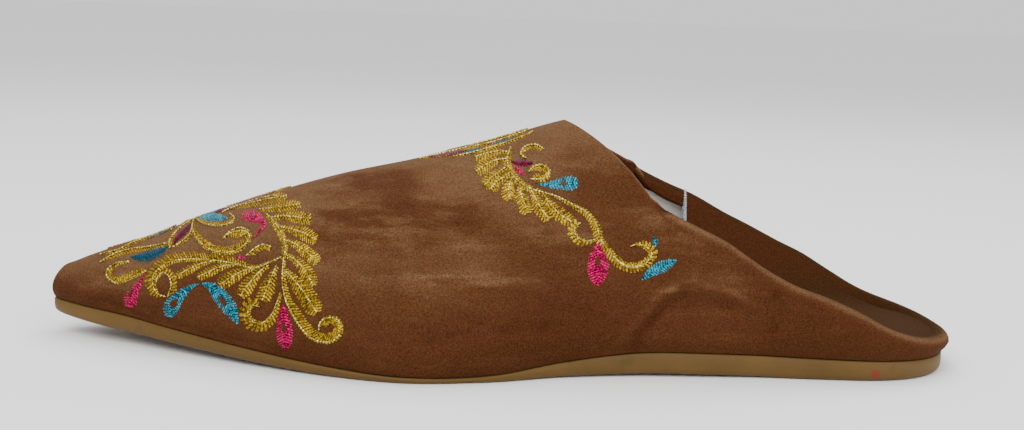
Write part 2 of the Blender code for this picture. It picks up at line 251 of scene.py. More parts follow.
def seat(share):
    """Height of the insole's upper face."""
    return sole_top(share) + GAP + INSOLE_THICKNESS


def section(share):
    """Foot, height and power of the last's section at a share."""
    base = sole_top(share) + GAP
    height = np.maximum(smooth(STATIONS, "crown", share) * INSTEP_HEIGHT - base, NOSE_HEIGHT)
    return base, height, 2.0 / smooth(STATIONS, "full", share)


def last_point(share, angle):
    """Outer face of the upper. Angle runs from 0 at the outer sole edge over the top to pi."""
    share = np.asarray(share, float)
    outer_x, outer_y = outline(share, -1)
    inner_x, inner_y = outline(share, 1)
    base, height, power = section(share)
    middle = 0.5 * (outer_y + inner_y)
    half = np.maximum(0.5 * (inner_y - outer_y) - GAP, 0.0)
    across = np.sign(np.cos(angle)) * np.abs(np.cos(angle)) ** power
    rise = height * np.abs(np.sin(angle)) ** power
    near = outline_normal(share, -1)
    far = outline_normal(share, 1)
    swell = OVERHANG * smooth(STATIONS, "swell", share) + GAP
    swell = swell * (1.0 - np.exp(-rise / SWELL_HEIGHT)) * np.abs(np.cos(angle))
    nx = np.where(angle < math.pi / 2, near[0], far[0])
    ny = np.where(angle < math.pi / 2, near[1], far[1])
    lean = NOSE_LEAN * (rise / height) ** 2 * (1.0 - ease(share / NOSE_END))
    return np.stack([outer_x + nx * swell + lean, middle - half * across + ny * swell, base + rise], axis=-1)


def crest(share, side):
    """Height of the collar, and of the folded heel behind it."""
    name = "outer" if side < 0 else "inner"
    return HEEL_HEIGHT + (COLLAR_HEIGHT - HEEL_HEIGHT) * smooth(RIMS, name, share)


def corner_angle(side):
    """Place around the section where the throat's edge meets the collar, from that side's foot."""
    base, height, power = section(THROAT_CORNER)
    return math.asin(((crest(THROAT_CORNER, side) - base) / height) ** (1.0 / power))


TINY = 1e-12                # keeps a length from being divided by zero


def distances(points):
    """Length along a polyline up to each of its points."""
    steps = np.linalg.norm(np.diff(points, axis=0), axis=1)
    return np.concatenate([[0.0], np.cumsum(steps)])


def interpolate(wanted, lengths, values):
    """Rows of values at the wanted lengths."""
    return np.stack([np.interp(wanted, lengths, column) for column in values.T], axis=1)


def resample(points, places):
    """Points at the given lengths along a polyline."""
    return interpolate(places, distances(points), points)


def length_of(points):
    return np.linalg.norm(np.diff(points, axis=0), axis=1).sum()


def vamp_row(part):
    """One row of the closed front: part is 0 at the toe's tip and 1 at the throat's edge."""
    near_corner = corner_angle(-1)
    far_corner = math.pi - corner_angle(1)
    angles = np.sort(np.concatenate([np.linspace(0.0, math.pi, CURVE_SAMPLES), [near_corner, far_corner]]))
    base = THROAT_CORNER * part ** BASE_EXPONENT
    ridge = THROAT_PEAK * part ** RIDGE_EXPONENT
    # the row leans forward to the ridge, as the throat's edge does
    outside = angles < math.pi / 2
    limit = np.where(outside, math.cos(near_corner), -math.cos(far_corner))
    power = np.where(outside, THROAT_OUTER, THROAT_INNER)
    reach = np.clip(np.abs(np.cos(angles)) / limit, 0.0, 1.0) ** power
    points = last_point(ridge + (base - ridge) * reach, angles)
    near = side_columns(points[angles <= near_corner], part)
    far = side_columns(points[angles >= far_corner][::-1], part)[::-1]
    top = points[(angles >= near_corner) & (angles <= far_corner)]
    between = resample(top, np.linspace(0.0, length_of(top), TOP_COLUMNS + 1))[1:-1]
    return np.concatenate([near, between, far])


def side_columns(points, part):
    """Even steps up the side at the toe, and a narrow last strip near the throat's corner."""
    whole = length_of(points)
    turned = FOLD_COLUMNS + LIP_COLUMNS
    even = whole * turned / (WALL_COLUMNS + turned)
    band = even + (EDGE_BAND - even) * ease((part - BAND_START) / (1.0 - BAND_START))
    wall = np.linspace(0.0, whole - band, WALL_COLUMNS + 1)
    edge = np.linspace(whole - band, whole, turned + 1)[1:]
    return resample(points, np.concatenate([wall, edge]))


def flap_rest(share):
    """Height of the folded back where it lies on the insole, at its upper face."""
    return seat(share) + GAP + WALL


def behind_corner(share, span):
    """0 at the throat's corner, 1 from a span behind it."""
    return ease((share - THROAT_CORNER) / span)


def fold_turn(share, side):
    """Angle of the fold: half a turn over a high wall, less where the flap leaves it level."""
    drop = crest(share, side) - flap_rest(share)
    level = math.asin(min(max(1.0 - drop / FOLD_RADIUS, 0.0), 1.0))
    return (math.pi - level) * behind_corner(share, TURN_SPAN)


def wall_curve(share, side):
    """Outer face of one side wall, from the sole up to where its edge starts to turn in."""
    angles = np.linspace(0.0, math.pi / 2, CURVE_SAMPLES)
    if side > 0:
        angles = math.pi - angles
    points = last_point(np.full(len(angles), share), angles)
    turn = min(fold_turn(share, side), math.pi / 2)
    limit = crest(share, side) - FOLD_RADIUS * math.sin(turn)
    heights = points[:, 2]
    count = int(np.searchsorted(heights, limit))
    t = (limit - heights[count - 1]) / (heights[count] - heights[count - 1])
    last = points[count - 1] + (points[count] - points[count - 1]) * t
    return np.concatenate([points[:count], [last]])


def fold_curve(share, side, start):
    """Turn from the top of the wall to its inside, then the straight lip."""
    nx, ny = outline_normal(share, side)
    turn = fold_turn(share, side)
    turns = np.linspace(0.0, turn, FOLD_COLUMNS + 1)
    lip = LIP * behind_corner(share, LIP_SPAN) * np.linspace(0.0, 1.0, LIP_COLUMNS + 1)[1:]
    inward = np.concatenate([
        FOLD_RADIUS * (1.0 - np.cos(turns)),
        FOLD_RADIUS * (1.0 - math.cos(turn)) + lip * math.sin(turn),
    ])
    upward = np.concatenate([
        FOLD_RADIUS * np.sin(turns),
        FOLD_RADIUS * math.sin(turn) + lip * math.cos(turn),
    ])
    return np.stack([start[0] - nx * inward, start[1] - ny * inward, start[2] + upward], axis=1)


def flap_curve(share, near, far):
    """The folded back between the insides of both walls, with its front edge set back."""
    across = np.linspace(-1.0, 1.0, CURVE_SAMPLES)
    blend = 0.5 * (across + 1.0)
    y = near[1] + (far[1] - near[1]) * blend
    setback = (FLAP_MIDDLE - FLAP_SIDE) * LENGTH * np.clip((1.0 - share) / (1.0 - FLAP_SIDE), 0.0, 1.0)
    behind = setback * (1.0 - across ** 2) ** 2
    x = near[0] + (far[0] - near[0]) * blend + behind
    rest = flap_rest(share + behind / LENGTH)
    ends = near[2] + (far[2] - near[2]) * blend
    z = rest + (ends - rest) * np.abs(across) ** FLAP_SQUARENESS
    return np.stack([x, y, z], axis=1)


def rear_row(share):
    """One row behind the throat's corners: walls, folds and what is folded in."""
    halves = {}
    for side in (-1, 1):
        wall = wall_curve(share, side)
        steps = np.linspace(0.0, length_of(wall), WALL_COLUMNS + 1)
        fold = fold_curve(share, side, wall[-1])
        halves[side] = np.concatenate([resample(wall, steps), fold[1:]])
    ends = WALL_COLUMNS + FOLD_COLUMNS
    inside = flap_curve(share, halves[-1][ends], halves[1][ends])
    total = length_of(inside)
    lip = min(LIP, LIP_LIMIT * total)
    if share >= FLAP_SIDE:
        steps = np.linspace(0.0, lip, LIP_COLUMNS + 1)[1:]
        halves[-1][ends + 1:] = resample(inside, steps)
        halves[1][ends + 1:] = resample(inside[::-1], steps)
    between = resample(inside, np.linspace(lip, total - lip, TOP_COLUMNS + 1))[1:-1]
    return np.concatenate([halves[-1], between, halves[1][::-1]])


def close_tips(rows):
    """Both sides share the points of the first and of the last row, where they meet."""
    for tip in (rows[0], rows[-1]):
        half = len(tip) // 2
        tip[half + 1:] = tip[:half][::-1]


def upper_grid():
    """Rows of the upper's outer face, and the cells that stay open at the throat."""
    rows = [vamp_row(k / VAMP_ROWS) for k in range(VAMP_ROWS + 1)]
    for k in range(1, COLLAR_ROWS + 1):
        rows.append(rear_row(THROAT_CORNER + (FLAP_SIDE - THROAT_CORNER) * k / COLLAR_ROWS))
    for k in range(1, HEEL_ROWS + 1):
        rows.append(rear_row(FLAP_SIDE + (1.0 - FLAP_SIDE) * math.sin(0.5 * math.pi * k / HEEL_ROWS)))
    close_tips(rows)
    open_rows = range(VAMP_ROWS, VAMP_ROWS + COLLAR_ROWS)
    open_columns = range(CORNER_COLUMN, CORNER_COLUMN + TOP_COLUMNS)
    return np.array(rows), open_rows, open_columns


def weld(points, faces):
    """Join points that coincide and drop the faces that this closes up."""
    index, kept, places = {}, [], []
    for point in points:
        key = tuple(int(round(value / WELD_STEP)) for value in point)
        if key not in index:
            index[key] = len(kept)
            kept.append(point)
        places.append(index[key])
    clean = []
    for face in faces:
        loop = []
        for corner in face:
            if places[corner] not in loop:
                loop.append(places[corner])
        if len(loop) > 2:
            clean.append(loop)
    return kept, clean


def ring(inset, height):
    """Closed ring of points around the sole, inset from its outline, at a height rule."""
    shares = 0.5 - 0.5 * np.cos(np.linspace(0.0, math.pi, OUTLINE_STEPS + 1))
    sides = []
    for side in (-1, 1):
        x, y = outline(shares, side)
        nx, ny = outline_normal(shares, side)
        sides.append(np.stack([x - nx * inset, y - ny * inset, height(shares)], axis=1))
    return np.concatenate([sides[0], sides[1][1:-1][::-1]])


def plate(name, levels, finish):
    """Solid between rings of an outline; each level is an inset and a height rule."""
    rings = [ring(inset, height) for inset, height in levels]
    count = len(rings[0])
    faces = []
    for k in range(len(rings) - 1):
        for j in range(count):
            a, b = k * count + j, k * count + (j + 1) % count
            faces.append([a, b, b + count, a + count])
    top = (len(rings) - 1) * count
    for k in range(OUTLINE_STEPS):
        near, near_next = k, k + 1
        far, far_next = (count - k) % count, (count - k - 1) % count
        loop = [near, near_next, far_next, far]
        loop = [corner for place, corner in enumerate(loop) if corner not in loop[:place]]
        faces.append(loop[::-1])
        faces.append([top + corner for corner in loop])
    return add_object(name, np.concatenate(rings), faces, finish)


# Camera, fitted to the photograph. Pixels count from its top left corner.
PICTURE_WIDTH = 1024
PICTURE_HEIGHT = 430
EYE = (-0.1126, -0.3980, 0.0953)
YAW = 2.93                  # this and the next two in degrees
PITCH = 8.14
ROLL = 2.14
FOCAL = 1394.0              # in pixels
SENSOR = 36.0               # its width, in millimetres
NEAREST = 0.01              # what is closer to the camera isn't shown


def camera_axes():
    """Right, up and forward of the camera."""
    yaw, pitch, roll = (math.radians(value) for value in (YAW, PITCH, ROLL))
    forward = np.array([math.sin(yaw) * math.cos(pitch), math.cos(yaw) * math.cos(pitch), -math.sin(pitch)])
    right = np.cross(forward, (0.0, 0.0, 1.0))
    right /= np.linalg.norm(right)
    up = np.cross(right, forward)
    return (right * math.cos(roll) + up * math.sin(roll),
            up * math.cos(roll) - right * math.sin(roll),
            forward)


def pixel_ray(x, y):
    right, up, forward = camera_axes()
    ray = forward + right * (x - PICTURE_WIDTH / 2) / FOCAL - up * (y - PICTURE_HEIGHT / 2) / FOCAL
    return ray / np.linalg.norm(ray)


# Materials. Colours are linear.
# scale: waves per metre. stretch: how much finer it is along, across and up.
Noise = namedtuple("Noise", "scale detail stretch roughness", defaults=((1.0, 1.0, 1.0), 0.55))
Bump = namedtuple("Bump", "distance strength")
SHEEN_ROUGHNESS = 0.45
SPOT_CORE = 0.4             # share of a stain's radius where it is at its full colour

# The velvet's tone runs from deep to pale and is a sum of four shares
VELVET_STOPS = (
    (0.12, (0.048, 0.0150, 0.0050)),
    (0.45, (0.073, 0.0270, 0.0103)),
    (0.98, (0.168, 0.098, 0.0480)),
)
VELVET_ROUGHNESS = 0.9
VELVET_SHEEN = 0.04
VELVET_SPECULAR = 0.04
VELVET_TINT = (0.9, 0.50, 0.28)
VELVET_MOTTLE = Noise(46.0, 5.0, (0.7, 1.0, 1.3), 0.62)
VELVET_STREAKS = Noise(60.0, 5.0, (0.8, 1.0, 5.0))
VELVET_BRUSHING = Noise(130.0, 5.0, (0.6, 1.0, 2.4))
VELVET_GRAIN = Noise(2600.0, 2.0)
VELVET_BUMP = Bump(0.0002, 0.6)
STREAK_RANGE = (0.50, 0.78)
FACING_RANGE = (-0.1, 0.95)
BRUSHING_RANGE = (0.36, 0.62)
# painted light: the velvet is painted paler where it faces up and darker on the sides
TOP_LIGHT_SHARE = 0.44
MOTTLE_SHARE = 0.50
STREAK_SHARE = 0.14
# share of the tone marks, with painted shade in crease troughs and painted highlight on crease ridges
MARK_AND_SHADE_SHARE = 0.34
BRUSHED_SHARE = 0.8         # how far brushing breaks up the tone marks and the painted crease shade and highlight
SPECK_STOPS = ((0.32, (0.60, 0.60, 0.60)), (0.70, (1.40, 1.38, 1.34)))
# Painted shade: the folded back is painted darker for the shade of the walls over it, and for its nap pressed
# down: steep parts, level parts
FOLDED_SHADE_STOPS = ((0.25, (0.060, 0.0190, 0.0065)), (0.95, (0.033, 0.0135, 0.0040)))

GUM_STOPS = ((0.3, (0.080, 0.041, 0.0060)), (0.7, (0.116, 0.061, 0.0098)))
GUM_ROUGHNESS = ((0.3, (0.42, 0.42, 0.42)), (0.7, (0.6, 0.6, 0.6)))
GUM_SPECULAR = 0.25
GUM_CLOUD = Noise(45.0, 4.0)
GUM_GRAIN = Noise(900.0, 2.0)
GUM_BUMP = Bump(0.00012, 0.35)
DIRT_PATCHES = Noise(160.0, 4.0)
DIRT_RANGE = (0.62, 0.74)
DIRT = (0.045, 0.025, 0.007)
DIRT_SHARE = 0.35
STAIN = (0.16, 0.02, 0.008)
# Stains on the edge of the sole: place and radius
STAINS = (((0.0068, -0.0330, 0.0022), 0.0017), ((-0.0409, -0.0315, 0.0036), 0.0010))

LINING_STOPS = ((0.3, (0.64, 0.60, 0.56)), (0.75, (0.74, 0.70, 0.66)))
LINING_WEAVE = Noise(1600.0, 2.0)
SOCK_STOPS = ((0.3, (0.68, 0.64, 0.59)), (0.75, (0.78, 0.74, 0.69)))
SOCK_WEAVE = Noise(1200.0, 2.0)
PALE_ROUGHNESS = 0.85
PALE_CLOUD = Noise(50.0, 4.0)
WEAVE_BUMP = Bump(0.0002, 0.5)

Thread = namedtuple("Thread", "name dark light roughness metallic")
SILVER = Thread("silver_stitch", (0.13, 0.15, 0.18), (0.46, 0.49, 0.55), 0.5, 0.2)
THREADS = {
    "gold": Thread("gold_thread", (0.045, 0.024, 0.0015), (0.50, 0.31, 0.020), 0.34, 0.7),
    "cord": Thread("gold_cord", (0.20, 0.125, 0.012), (1.00, 0.90, 0.34), 0.28, 0.7),
    # painted shade: a darker copy of the teal, for the strokes on the upper vamp where the thread catches
    # less light
    "shaded_teal": Thread("shaded_teal_thread", (0.0002, 0.003, 0.008), (0.004, 0.070, 0.110), 0.4, 0.2),
    "teal": Thread("teal_thread", (0.0002, 0.010, 0.022), (0.026, 0.32, 0.43), 0.34, 0.3),
    "pink": Thread("pink_thread", (0.050, 0.0001, 0.007), (0.64, 0.006, 0.12), 0.34, 0.3),
    "wine": Thread("wine_thread", (0.014, 0.0002, 0.002), (0.115, 0.0025, 0.022), 0.4, 0.1),
}
THREAD_GRAIN = Noise(2000.0, 2.0)
THREAD_BUMP = Bump(0.00015, 0.6)
THREAD_PLACES = (0.15, 0.85)    # tones where its dark and its light colour lie
GLINT_RANGE = (0.44, 0.62)
SPARKLE_SHARE = 0.50        # a thread's tone: glints along it, and how bright its stitch is
STITCH_SHARE = 0.50


class Finish:
    """A Principled material built up node by node."""

    def __init__(self, name, roughness, metallic=0.0, sheen=0.0, sheen_tint=(1.0, 1.0, 1.0)):
        self.material = bpy.data.materials.new(name)
        self.material.use_nodes = True
        self.tree = self.material.node_tree
        self.shader = self.tree.nodes["Principled BSDF"]
        self.shader.inputs["Roughness"].default_value = roughness
        self.shader.inputs["Metallic"].default_value = metallic
        self.shader.inputs["Sheen Weight"].default_value = sheen
        self.shader.inputs["Sheen Roughness"].default_value = SHEEN_ROUGHNESS
        self.shader.inputs["Sheen Tint"].default_value = (*sheen_tint, 1.0)
        self.place = self.tree.nodes.new("ShaderNodeTexCoord").outputs["Object"]

    def node(self, kind, inputs=None, **settings):
        made = self.tree.nodes.new(kind)
        for name, value in settings.items():
            setattr(made, name, value)
        for name, value in (inputs or {}).items():
            if isinstance(value, bpy.types.NodeSocket):
                self.tree.links.new(value, made.inputs[name])
            else:
                made.inputs[name].default_value = value
        return made

    def noise(self, noise):
        moved = self.node("ShaderNodeMapping", {"Vector": self.place, "Scale": noise.stretch})
        made = self.node("ShaderNodeTexNoise", {
            "Vector": moved.outputs["Vector"], "Scale": noise.scale,
            "Detail": noise.detail, "Roughness": noise.roughness})
        return made.outputs["Fac"]

    def ramp(self, factor, stops):
        made = self.node("ShaderNodeValToRGB", {"Fac": factor})
        made.color_ramp.elements[0].position = stops[0][0]
        made.color_ramp.elements[0].color = (*stops[0][1], 1.0)
        made.color_ramp.elements[1].position = stops[-1][0]
        made.color_ramp.elements[1].color = (*stops[-1][1], 1.0)
        for place, colour in stops[1:-1]:
            made.color_ramp.elements.new(place).color = (*colour, 1.0)
        return made.outputs["Color"]

    def mask(self, factor, low, high):
        made = self.node("ShaderNodeMapRange", {"Value": factor, "From Min": low, "From Max": high},
                         interpolation_type="SMOOTHSTEP")
        return made.outputs["Result"]

    def mix(self, factor, first, second, blend="MIX"):
        made = self.node("ShaderNodeMix", data_type="RGBA", blend_type=blend)
        for name, value in (("Factor_Float", factor), ("A_Color", first), ("B_Color", second)):
            socket = next(s for s in made.inputs if s.identifier == name)
            if isinstance(value, bpy.types.NodeSocket):
                self.tree.links.new(value, socket)
            else:
                socket.default_value = value if name == "Factor_Float" else (*value, 1.0)
        return next(s for s in made.outputs if s.identifier == "Result_Color")

    def maths(self, operation, first, second=0.0):
        made = self.node("ShaderNodeMath", operation=operation)
        for k, value in enumerate((first, second)):
            if isinstance(value, bpy.types.NodeSocket):
                self.tree.links.new(value, made.inputs[k])
            else:
                made.inputs[k].default_value = value
        return made.outputs["Value"]

    def total(self, *terms):
        """Sum of values, each times its share."""
        parts = [self.maths("MULTIPLY", value, share) for value, share in terms]
        summed = parts[0]
        for part in parts[1:]:
            summed = self.maths("ADD", summed, part)
        return summed

    def value(self, name):
        """A value that is stored on the mesh."""
        return self.node("ShaderNodeAttribute", attribute_name=name).outputs["Fac"]

    def upward(self):
        """How far the surface faces up."""
        normal = self.node("ShaderNodeNewGeometry").outputs["Normal"]
        return self.node("ShaderNodeSeparateXYZ", {"Vector": normal}).outputs["Z"]

    def spot(self, centre, radius):
        """1 near a point, 0 away from it."""
        distance = self.node("ShaderNodeVectorMath", {0: self.place}, operation="DISTANCE")
        distance.inputs[1].default_value = centre
        return self.mask(distance.outputs["Value"], radius, radius * SPOT_CORE)

    def colour(self, socket):
        self.tree.links.new(socket, self.shader.inputs["Base Color"])

    def rough(self, socket):
        self.tree.links.new(socket, self.shader.inputs["Roughness"])

    def bump(self, height, bump):
        made = self.node("ShaderNodeBump", {
            "Height": height, "Distance": bump.distance, "Strength": bump.strength})
        self.tree.links.new(made.outputs["Normal"], self.shader.inputs["Normal"])


def velvet():
    """Napped velvet with brushed streaks, painted darker on the sides and paler where it faces up as painted
    light, with painted shade in the creases and on the folded back.
    """
    finish = Finish("brown_velvet", VELVET_ROUGHNESS, sheen=VELVET_SHEEN, sheen_tint=VELVET_TINT)
    finish.shader.inputs["Specular IOR Level"].default_value = VELVET_SPECULAR
    mottle = finish.noise(VELVET_MOTTLE)
    streak = finish.mask(finish.noise(VELVET_STREAKS), *STREAK_RANGE)
    grain = finish.noise(VELVET_GRAIN)
    # painted light: paler where the surface faces up
    facing = finish.mask(finish.upward(), *FACING_RANGE)
    brushed = finish.mask(finish.noise(VELVET_BRUSHING), *BRUSHING_RANGE)
    brushed = finish.maths("ADD", finish.maths("MULTIPLY", brushed, BRUSHED_SHARE), 1.0 - BRUSHED_SHARE)
    # tone marks, with painted shade in crease troughs and painted highlight on crease ridges, broken up by
    # brushing
    marks_and_crease_shade = finish.maths("MULTIPLY", finish.value("marks_and_crease_shade"), brushed)
    marks = finish.total((streak, STREAK_SHARE), (marks_and_crease_shade, MARK_AND_SHADE_SHARE))
    tone = finish.total((facing, TOP_LIGHT_SHARE), (mottle, MOTTLE_SHARE), (marks, 1.0))
    velvet_colour = finish.ramp(tone, VELVET_STOPS)
    # painted shade on the folded back
    base = finish.mix(finish.value("fold_shade"), velvet_colour, finish.ramp(facing, FOLDED_SHADE_STOPS))
    finish.colour(finish.mix(1.0, base, finish.ramp(grain, SPECK_STOPS), "MULTIPLY"))
    finish.bump(grain, VELVET_BUMP)
    return finish.material


def gum():
    """Gum rubber, cloudy, with a little dirt and two reddish stains."""
    finish = Finish("gum_sole", 0.5)
    finish.shader.inputs["Specular IOR Level"].default_value = GUM_SPECULAR
    cloud = finish.noise(GUM_CLOUD)
    dirt = finish.mask(finish.noise(DIRT_PATCHES), *DIRT_RANGE)
    base = finish.mix(finish.maths("MULTIPLY", dirt, DIRT_SHARE), finish.ramp(cloud, GUM_STOPS), DIRT)
    for centre, radius in STAINS:
        base = finish.mix(finish.spot(centre, radius), base, STAIN)
    finish.colour(base)
    finish.rough(finish.ramp(cloud, GUM_ROUGHNESS))
    finish.bump(finish.noise(GUM_GRAIN), GUM_BUMP)
    return finish.material


def pale(name, stops, weave):
    """Pale lining or sock with a fine weave."""
    finish = Finish(name, PALE_ROUGHNESS)
    finish.colour(finish.ramp(finish.noise(PALE_CLOUD), stops))
    finish.bump(finish.noise(weave), WEAVE_BUMP)
    return finish.material


def metal_thread(thread):
    """Metallic embroidery thread, with a fine change of tone along it."""
    finish = Finish(thread.name, thread.roughness, thread.metallic)
    tint = [channel / max(thread.light) for channel in thread.light]
    finish.shader.inputs["Specular Tint"].default_value = (*tint, 1.0)
    sparkle = finish.noise(THREAD_GRAIN)
    glints = finish.mask(sparkle, *GLINT_RANGE)
    tone = finish.total((glints, SPARKLE_SHARE), (finish.value("stitch"), STITCH_SHARE))
    finish.colour(finish.ramp(tone, tuple(zip(THREAD_PLACES, (thread.dark, thread.light)))))
    finish.bump(sparkle, THREAD_BUMP)
    return finish.material


# Creases, placed in metres along the shoe and above the floor
Crease = namedtuple("Crease", "side lift width points")
# side: -1 outer, 1 inner. lift: height of a ridge, below 0 for a trough.
CREASES = (
    Crease(-1, 0.00055, 0.0016, ((-0.0645, 0.0100), (-0.0617, 0.0135), (-0.0548, 0.0211), (-0.0486, 0.0256),
                                 (-0.0446, 0.0271))),
    Crease(-1, -0.00060, 0.0022, ((-0.0600, 0.0085), (-0.0570, 0.0140), (-0.0520, 0.0195),
                                  (-0.0470, 0.0232))),
    Crease(-1, 0.00050, 0.0014, ((-0.0561, 0.0197), (-0.0504, 0.0239), (-0.0429, 0.0252), (-0.0347, 0.0241),
                                 (-0.0285, 0.0199))),
    Crease(-1, -0.00050, 0.0024, ((-0.0500, 0.0195), (-0.0420, 0.0215), (-0.0345, 0.0200))),
    Crease(-1, -0.00045, 0.0016, ((-0.0233, 0.0288), (-0.0217, 0.0209), (-0.0231, 0.0131))),
    Crease(-1, 0.00040, 0.0016, ((-0.0243, 0.0262), (-0.0175, 0.0262), (-0.0103, 0.0250), (-0.0020, 0.0215))),
    Crease(-1, -0.00050, 0.0030, ((-0.1150, 0.0120), (-0.1000, 0.0150), (-0.0850, 0.0145))),
    Crease(-1, 0.00040, 0.0040, ((-0.1200, 0.0260), (-0.1020, 0.0275), (-0.0850, 0.0250))),
    Crease(-1, -0.00045, 0.0016, ((-0.2080, 0.0120), (-0.1900, 0.0090), (-0.1700, 0.0072),
                                  (-0.1480, 0.0055))),
    Crease(1, 0.00050, 0.0020, ((-0.0620, 0.0100), (-0.0560, 0.0200), (-0.0470, 0.0270), (-0.0400, 0.0290))),
    Crease(1, -0.00050, 0.0026, ((-0.0560, 0.0110), (-0.0500, 0.0180), (-0.0420, 0.0225), (-0.0330, 0.0210))),
    Crease(1, -0.00045, 0.0030, ((-0.1180, 0.0130), (-0.1020, 0.0160), (-0.0880, 0.0150))),
)
CREASE_SHADE_TONE = 0.6           # painted highlight on ridges and painted shade in troughs, paler and darker by this
CREASE_SHADE_WIDTH = 0.6     # over this share of their width
CREASE_MARGIN = 4           # rows before the throat's edge, where creases keep to the wall

# Patches where the velvet is made lighter or darker on the outer side, placed as the creases are
ToneMark = namedtuple("ToneMark", "tone width points")
TONE_MARKS = (
    ToneMark(0.3, 0.0012, ((-0.1490, 0.0430), (-0.1380, 0.0440), (-0.1290, 0.0430))),
    ToneMark(-0.6, 0.0040, ((-0.1440, 0.0345), (-0.1320, 0.0350), (-0.1180, 0.0360))),
    ToneMark(0.6, 0.0009, ((-0.1420, 0.0370), (-0.1300, 0.0375), (-0.1200, 0.0385))),
    ToneMark(0.4, 0.0014, ((-0.1330, 0.0255), (-0.1200, 0.0265), (-0.1110, 0.0260))),
    ToneMark(0.3, 0.0050, ((-0.1160, 0.0215), (-0.1000, 0.0235))),
    ToneMark(0.6, 0.0040, ((-0.1930, 0.0060), (-0.1760, 0.0050), (-0.1600, 0.0045))),
    ToneMark(-0.8, 0.0050, ((-0.1560, 0.0480), (-0.1400, 0.0495), (-0.1240, 0.0490))),
    ToneMark(-0.9, 0.0045, ((-0.1430, 0.0405), (-0.1250, 0.0410), (-0.1060, 0.0415))),
    ToneMark(0.6, 0.0060, ((-0.0870, 0.0400), (-0.0800, 0.0370), (-0.0720, 0.0320))),
    ToneMark(0.5, 0.0050, ((-0.0560, 0.0420), (-0.0450, 0.0350), (-0.0330, 0.0280))),
    ToneMark(0.8, 0.0050, ((-0.2150, 0.0150), (-0.2060, 0.0180), (-0.1970, 0.0215))),
    ToneMark(0.3, 0.0050, ((-0.1850, 0.0120), (-0.1550, 0.0115))),
    ToneMark(-0.4, 0.0060, ((-0.0760, 0.0560), (-0.0620, 0.0500))),
)
TONE_MARK_FADE = 0.012            # they fade out towards the middle of the vamp over this width
# limits of the tone marks together with the painted crease shade and highlight
MARK_AND_SHADE_RANGE = (-1.0, 1.2)

# Soft swelling of the padded velvet on top of the toe's tip
TOE_PUFF = 0.0026
TOE_PUFF_X = -0.2135
TOE_PUFF_WIDTH = 0.0100

# Small gathers of the velvet round the toe, above the sole
PUCKER_LIFT = 0.00030
PUCKER_STEP = 0.0105
PUCKER_SWAY = 3.0           # how unevenly they are spaced
PUCKER_SWAY_RATE = 140.0    # radians per metre
PUCKER_HEIGHT = 0.0085
PUCKER_END = 0.42           # the share of the sole where they end
PUCKER_FADE = 0.1           # and the share over which they fade

# Creases and gathers fade out towards the edges of the wall
FOOT_FADE = 0.003
RIM_FADE = 0.004
TIP_ROWS = 5.0              # and over these rows towards the tips, where both sides meet


def distance_to(points, line):
    """Distance in the side view from points to a given line."""
    best = np.full(len(points), 1.0)
    for start, end in zip(line[:-1], line[1:]):
        start, step = np.array(start), np.subtract(end, start)
        part = np.clip(((points - start) @ step) / (step @ step), 0.0, 1.0)
        best = np.minimum(best, np.linalg.norm(points - start - part[:, None] * step, axis=1))
    return best


def raise_creases(grid, normals):
    """Soft troughs and ridges on the velvet; the walls' feet and folded edges stay where they are. Also
    returns the tone marks, with painted shade in the troughs and painted highlight on the ridges.
    """
    flat = grid.reshape(-1, 3)
    side_view = flat[:, [0, 2]]
    columns = np.tile(np.arange(grid.shape[1]), len(grid))
    rows = np.repeat(np.arange(len(grid)), grid.shape[1])
    vamp = rows < VAMP_ROWS - CREASE_MARGIN
    lift, marks_and_crease_shade = np.zeros(len(flat)), np.zeros(len(flat))
    for crease in CREASES:
        wall = columns < WALL_COLUMNS if crease.side < 0 else columns >= grid.shape[1] - WALL_COLUMNS
        near = wall | (vamp & (flat[:, 1] * crease.side > 0.0))
        away = distance_to(side_view, crease.points) / crease.width
        lift += np.where(near, crease.lift * np.exp(-away ** 2), 0.0)
        # painted highlight on ridges, painted shade in troughs
        tone = math.copysign(CREASE_SHADE_TONE, crease.lift) * np.exp(-(away / CREASE_SHADE_WIDTH) ** 2)
        marks_and_crease_shade += np.where(near, tone, 0.0)
    for mark in TONE_MARKS:
        away = distance_to(side_view, mark.points) / mark.width
        marks_and_crease_shade += mark.tone * np.exp(-away ** 2) * ease(-flat[:, 1] / TONE_MARK_FADE)
    share = flat[:, 0] / LENGTH + HEEL_SEAT
    above = flat[:, 2] - sole_top(share)
    foot = ease(above / FOOT_FADE)
    lift = lift + gathers(flat[:, 0], share, above)
    lift *= foot * ease((crest_of(flat, share) - flat[:, 2]) / RIM_FADE)
    lift *= ease(rows / TIP_ROWS) * ease((len(grid) - 1 - rows) / TIP_ROWS)
    raised = flat + normals.reshape(-1, 3) * lift[:, None]
    upward = np.clip(normals[:, :, 2], 0.0, 1.0)
    upward[0] = upward[1]
    puff = TOE_PUFF * np.exp(-((flat[:, 0] - TOE_PUFF_X) / TOE_PUFF_WIDTH) ** 2)
    raised[:, 2] += puff * upward.ravel() * foot
    raised = raised.reshape(grid.shape)
    close_tips(raised)
    return raised, np.clip(marks_and_crease_shade, *MARK_AND_SHADE_RANGE)


def gathers(x, share, above):
    """Height of the small gathers round the toe."""
    wave = np.sin(2.0 * math.pi * x / PUCKER_STEP + PUCKER_SWAY * np.sin(x * PUCKER_SWAY_RATE))
    fade = np.exp(-(above / PUCKER_HEIGHT) ** 2) * ease((PUCKER_END - share) / PUCKER_FADE)
    return PUCKER_LIFT * wave * fade


def crest_of(points, share):
    """Height of the wall's top beside each point, or far above it on the closed vamp."""
    high = np.where(points[:, 1] < 0.0, crest(share, -1), crest(share, 1))
    return np.where(share < THROAT_CORNER, 1.0, high)


